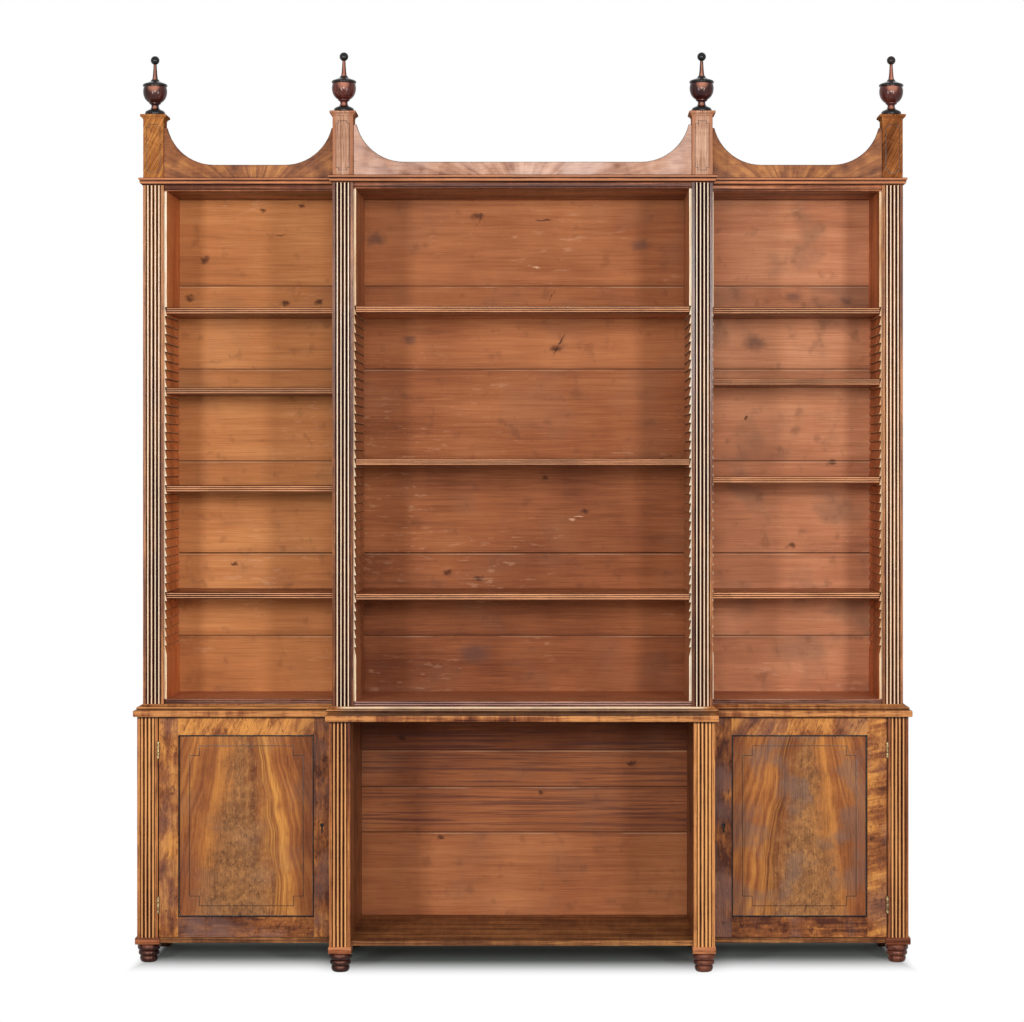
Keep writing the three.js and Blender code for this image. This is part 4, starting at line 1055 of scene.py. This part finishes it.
# %% Ease the door frames and panels
PANEL_LAP = 0.0096
KEY_INSET = 0.033
KEY_RISE = 0.006
CROSSED = (0.45, 0.0, 0.89)
CURLED = (0.97, 0.0, 0.24)
MEMBER_TINTS = {
    "left": {"top rail": 1.0, "outer stile": 0.5, "inner stile": -0.25, "bottom rail": -0.7},
    "right": {"top rail": 0.4, "outer stile": 0.3, "inner stile": -0.75, "bottom rail": -0.7},
}


def opening_of(side):
    """The lowest and highest corner of what shows of a panel."""
    low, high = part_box("door_panel_" + side)
    return (low[0] + PANEL_LAP, low[2] + PANEL_LAP), (high[0] - PANEL_LAP, high[2] - PANEL_LAP)


def make_door_frame(side):
    (x0, _), (x1, _) = opening_of(side)
    low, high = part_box("door_frame_" + side)
    middle_z = (low[2] + high[2]) / 2
    key_x = high[0] - KEY_INSET if side == "left" else low[0] + KEY_INSET
    key_z = middle_z + KEY_RISE

    def rule(centre):
        if x0 < centre.x < x1:
            member = "top rail" if centre.z > middle_z else "bottom rail"
            direction = CROSSED if member == "top rail" else ALONG_X
        else:
            member = "outer stile" if (centre.x < x0) == (side == "left") else "inner stile"
            direction = CURLED if (side, member) == ("right", "outer stile") else ALONG_Z
        return direction, side + member, MEMBER_TINTS[side][member]

    cuts = [((x0, 0, 0), (1, 0, 0)), ((x1, 0, 0), (1, 0, 0)), ((0, 0, key_z), (0, 0, 1))]
    mesh = eased("door_frame_" + side, DOOR_WOOD, DOOR_WOOD, rule, 0.0008, cuts).data
    # The walls inside the keyhole take the black finish: painted shade in the hole.
    mesh.materials.append(EBONISED)
    for face in mesh.polygons:
        across, up, deep = face.center.x - key_x, face.center.z - key_z, face.center.y - low[1]
        if abs(across) < 0.0075 and -0.03 < up < 0.0075 and 0.0004 < deep < 0.0145:
            face.material_index = 2


for side in SIDES:
    make_door_frame(side)
    eased("door_panel_" + side, FLAME, FLAME, one_board(ALONG_Z, "panel " + side), 0.0004)
print("opening of the right door:", opening_of("right"))


# %% Build the strip tree
def strip_tree(name, material):
    """A strip with rounded corners that follows a curve."""
    graph, given, sockets = tree_with_inputs(name, {
        "Path": ("Geometry", None), "Width": ("Float", 0.002), "Height": ("Float", 0.0004),
        "Round": ("Float", 0.0001)})
    section = graph.node("GeometryNodeCurvePrimitiveQuadrilateral",
                         {"Width": given["Height"], "Height": given["Width"]})
    section = graph.node("GeometryNodeFilletCurve", {"Curve": section, "Radius": given["Round"], "Count": 3},
                         mode="POLY")
    strip = graph.node("GeometryNodeCurveToMesh", {"Curve": given["Path"], "Profile Curve": section})
    leave(graph, shade(graph, strip, 40.0), material)
    return graph.tree, sockets


def closed_path(name, points):
    curve = bpy.data.curves.new(name, "CURVE")
    curve.dimensions = "3D"
    spline = curve.splines.new("POLY")
    spline.points.add(len(points) - 1)
    for spot, point in zip(spline.points, points):
        spot.co = (*point, 1.0)
    spline.use_cyclic_u = True
    return new_object(name, curve)


STRIP = strip_tree("inlaid_strip_tree", EBONISED)


def strip(name, outline, y, section, node):
    """A strip along an outline of x and z that rides with the node; section: width, height, rounding."""
    path = closed_path(name, [(x, y, z) for x, z in outline])
    piece = grown(name, *STRIP, dict(zip(("Width", "Height", "Round"), section)), path)
    piece.name = name
    shape = bmesh.new()
    shape.from_mesh(piece.data)
    bmesh.ops.recalc_face_normals(shape, faces=shape.faces)
    shape.to_mesh(piece.data)
    shape.free()
    lay_grain(piece.data, one_board(ALONG_Z, name))
    return ride_with(piece, node)


print("strip tree:", len(STRIP[0].nodes), "nodes")


# %% Lay the beads and the lines of the doors
def stepped(x0, x1, z0, z1, step):
    """A rectangle whose corners step inwards."""
    return [(x0 + step, z0), (x1 - step, z0), (x1 - step, z0 + step), (x1, z0 + step),
            (x1, z1 - step), (x1 - step, z1 - step), (x1 - step, z1), (x0 + step, z1),
            (x0 + step, z1 - step), (x0, z1 - step), (x0, z0 + step), (x0 + step, z0 + step)]


LINE_INSET = 0.033
LINE_STEP = 0.029
BEAD = 0.0055
for side in SIDES:
    panel = "door_panel_" + side
    (x0, z0), (x1, z1) = opening_of(side)
    face_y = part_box(panel)[0][1]
    half = BEAD / 2
    corners = [(x0 + half, z0 + half), (x1 - half, z0 + half), (x1 - half, z1 - half), (x0 + half, z1 - half)]
    # The black bead is partly painted shade, where the frame's inner edge casts its shadow.
    bead = strip("panel_bead_" + side, corners, face_y - half * 0.8, (BEAD, BEAD, BEAD * 0.42), panel)
    path = stepped(x0 + LINE_INSET, x1 - LINE_INSET, z0 + LINE_INSET, z1 - LINE_INSET, LINE_STEP)
    line = strip("panel_line_" + side, path, face_y, (0.0026, 0.0005, 0.0001), panel)
print("bead faces:", len(bead.data.polygons), "line faces:", len(line.data.polygons))

# %% Ease the hinges
hinges = [node for node in BODY_OF if node.startswith("hinge_")]
for node in hinges:
    eased(node, BRASS, BRASS, one_board(ALONG_Z, node), 0.0003)
print("hinge leaves:", len(hinges))

# %% [markdown]
# ## Turnings
# Feet and urns come off a lathe, so each is a profile that is spun round its axis. The profile
# is a short list of radii and heights. Its corners are cut, which rounds them as sandpaper
# does, and the result is spun with enough sides to look round close up.


# %% Spin a profile
def softened(profile):
    """Corner cutting: every inner corner is replaced by two points near it."""
    cut = [profile[0]]
    for (r0, z0), (r1, z1) in zip(profile, profile[1:]):
        cut.append((r0 * 0.78 + r1 * 0.22, z0 * 0.78 + z1 * 0.22))
        cut.append((r0 * 0.22 + r1 * 0.78, z0 * 0.22 + z1 * 0.78))
    return cut + [profile[-1]]


def spun(profile, centre_x, centre_y, base_z, sides):
    """A closed solid of revolution; the first and the last point of the profile lie on the axis."""
    shape = bmesh.new()
    poles = [shape.verts.new((centre_x, centre_y, base_z + z / 1000)) for _, z in (profile[0], profile[-1])]
    rings = []
    for radius, z in profile[1:-1]:
        ring = []
        for number in range(sides):
            angle = 2 * math.pi * number / sides
            ring.append(shape.verts.new((centre_x + radius / 1000 * math.cos(angle),
                                         centre_y + radius / 1000 * math.sin(angle), base_z + z / 1000)))
        rings.append(ring)
    for number in range(sides):
        after = (number + 1) % sides
        shape.faces.new((poles[0], rings[0][after], rings[0][number]))
        shape.faces.new((poles[1], rings[-1][number], rings[-1][after]))
        for lower, upper in zip(rings, rings[1:]):
            shape.faces.new((lower[number], lower[after], upper[after], upper[number]))
    return shape


def turned(node, profile, sides, *woods):
    low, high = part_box(node)
    shape = spun(profile, (low[0] + high[0]) / 2, (low[1] + high[1]) / 2, low[2], sides)
    mesh = mesh_of(shape, node + "_turned", *woods)
    mesh.shade_smooth()
    mesh.set_sharp_from_angle(angle=math.radians(50.0))
    lay_grain(mesh, one_board(ALONG_Z, node))
    return seat(new_object(node + "_turned", mesh), node)


print("the lathe is ready")

# %% Turn the feet
BLOCK_HEIGHT = 0.020
FOOT_PROFILE = [
    (0, 0), (19, 0), (22.4, 1.2), (25.4, 5), (27, 10), (26.9, 14.5), (25.6, 18), (23.8, 19.8), (27.4, 20.8),
    (30.2, 23.4), (31.4, 27.5), (31, 31.5), (29.2, 34.6), (26.8, 35.4), (30.6, 36.6), (33.2, 40), (34.2, 45),
    (33.8, 49.5), (32, 53), (29.5, 56), (0, 56),
]


def make_foot(place):
    node = "foot_" + place
    piece = turned(node, softened(FOOT_PROFILE), 48, TURNED_WOOD)
    low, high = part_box(node)
    low = (low[0], low[1], high[2] - BLOCK_HEIGHT)
    shape = bmesh.new()
    bmesh.ops.create_cube(shape, size=1.0)
    for vertex in shape.verts:
        vertex.co = Vector([(a + b) / 2 + share * (b - a) for a, b, share in zip(low, high, vertex.co)])
    bmesh.ops.bevel(shape, geom=shape.edges[:], offset=0.0018, segments=3, affect="EDGES", profile=0.5)
    cube = mesh_of(shape, node + "_block", FOOT_BLOCK_WOOD)
    cube.shade_smooth()
    cube.set_sharp_from_angle(angle=math.radians(35.0))
    lay_grain(cube, one_board(ALONG_X, node + "block"))
    ride_with(new_object(node + "_block", cube), node)
    return piece


feet = [make_foot(place) for place in PLACES]
print("feet:", len(feet), "faces of a turning:", len(feet[0].data.polygons))

# %% Turn the urns
BALL = 13.2
SPIRE = [
    (0, 0), (28.5, 0), (30, 2), (30.4, 6), (30, 9.5), (28, 13), (22.4, 16.2), (15.4, 19), (12, 23.4),
    (10.9, 28), (11.4, 31.6), (13.4, 33.8), (16.6, 35), (17.4, 36.8), (17.2, 38.4), (20, 40.2), (25, 44),
    (30.2, 50.2), (33.8, 58), (35.8, 66.6), (36.1, 75), (35, 82), (33.4, 86.4), (36.2, 87.6),
    (37, 90.4), (36.4, 93.6), (33, 96), (27, 98), (20, 100.6), (14.4, 103), (12.6, 105.2), (12, 107.4),
    (9.4, 109.2), (8, 113), (6.8, 122), (5.8, 136), (4.9, 150), (4.8, 154.5),
]
BLACK_BANDS = ((-1.0, 17.0), (86.8, 108.0), (153.5, 200.0))


def urn_profile():
    start = math.asin(SPIRE[-1][0] / BALL)
    middle = SPIRE[-1][1] + BALL * math.cos(start)
    angles = [start + (math.pi - start) * number / 12 for number in range(1, 12)]
    ball = [(BALL * math.sin(angle), middle - BALL * math.cos(angle)) for angle in angles]
    return softened(SPIRE) + ball + [(0, middle + BALL)]


def make_urn(place):
    node = "finial_" + place
    piece = turned(node, urn_profile(), 64, URN_WOOD, EBONISED)
    base_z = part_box(node)[0][2]
    for face in piece.data.polygons:
        height = (face.center.z - base_z) * 1000
        face.material_index = int(any(low < height < high for low, high in BLACK_BANDS))
    return piece


urns = [make_urn(place) for place in PLACES]

# %% [markdown]
# ## The crest
# The swept panels and their square pedestals are veneered. The panels keep their shape, and the
# fan figure spreads from their foot. Each pedestal has a dark line let into its front. The middle
# panel and the inner pedestals are paler, and that pale is a painted reflection.

# %% Dress the crest
PEDESTAL_TINTS = {"outer_left": 0.7, "inner_left": -0.1, "inner_right": 0.9, "outer_right": -0.1}
LINE_SIDE, LINE_FOOT, LINE_HEAD, SMALL_STEP = 0.0108, 0.015, 0.030, 0.008
for side in SIDES:
    eased("crest_panel_" + side, CREST_WING, CREST_EDGE, one_board(ALONG_X, "crest " + side), 0.0014)
eased("crest_panel_centre", CREST_CENTRE, CREST_EDGE, one_board(ALONG_X, "crest"), 0.0014)


def make_pedestal(place):
    node = "pedestal_" + place
    wood, grain = (PEDESTAL_PALE, ALONG_Z) if "inner" in place else (PEDESTAL_WOOD, CROSSED)
    eased(node, wood, PEDESTAL_EDGE, one_board(grain, node, PEDESTAL_TINTS[place]), 0.0008)
    (x0, face_y, _), (x1, _, _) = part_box("upper_pilaster_" + place)
    (_, _, z0), (_, _, z1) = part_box(node)
    outline = stepped(x0 + LINE_SIDE, x1 - LINE_SIDE, z0 + LINE_FOOT, z1 - LINE_HEAD, SMALL_STEP)
    strip("pedestal_line_" + place, outline, face_y, (0.0019, 0.0005, 0.0001), node)


for place in PLACES:
    make_pedestal(place)

# %% [markdown] ## The dressed box The box of the dressed case is printed, as the box of the packed
# model was at the start.

# %% Print the dressed box and finish
dressed_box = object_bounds()
print("dressed box:", [[round(v, 4) for v in corner] for corner in dressed_box])
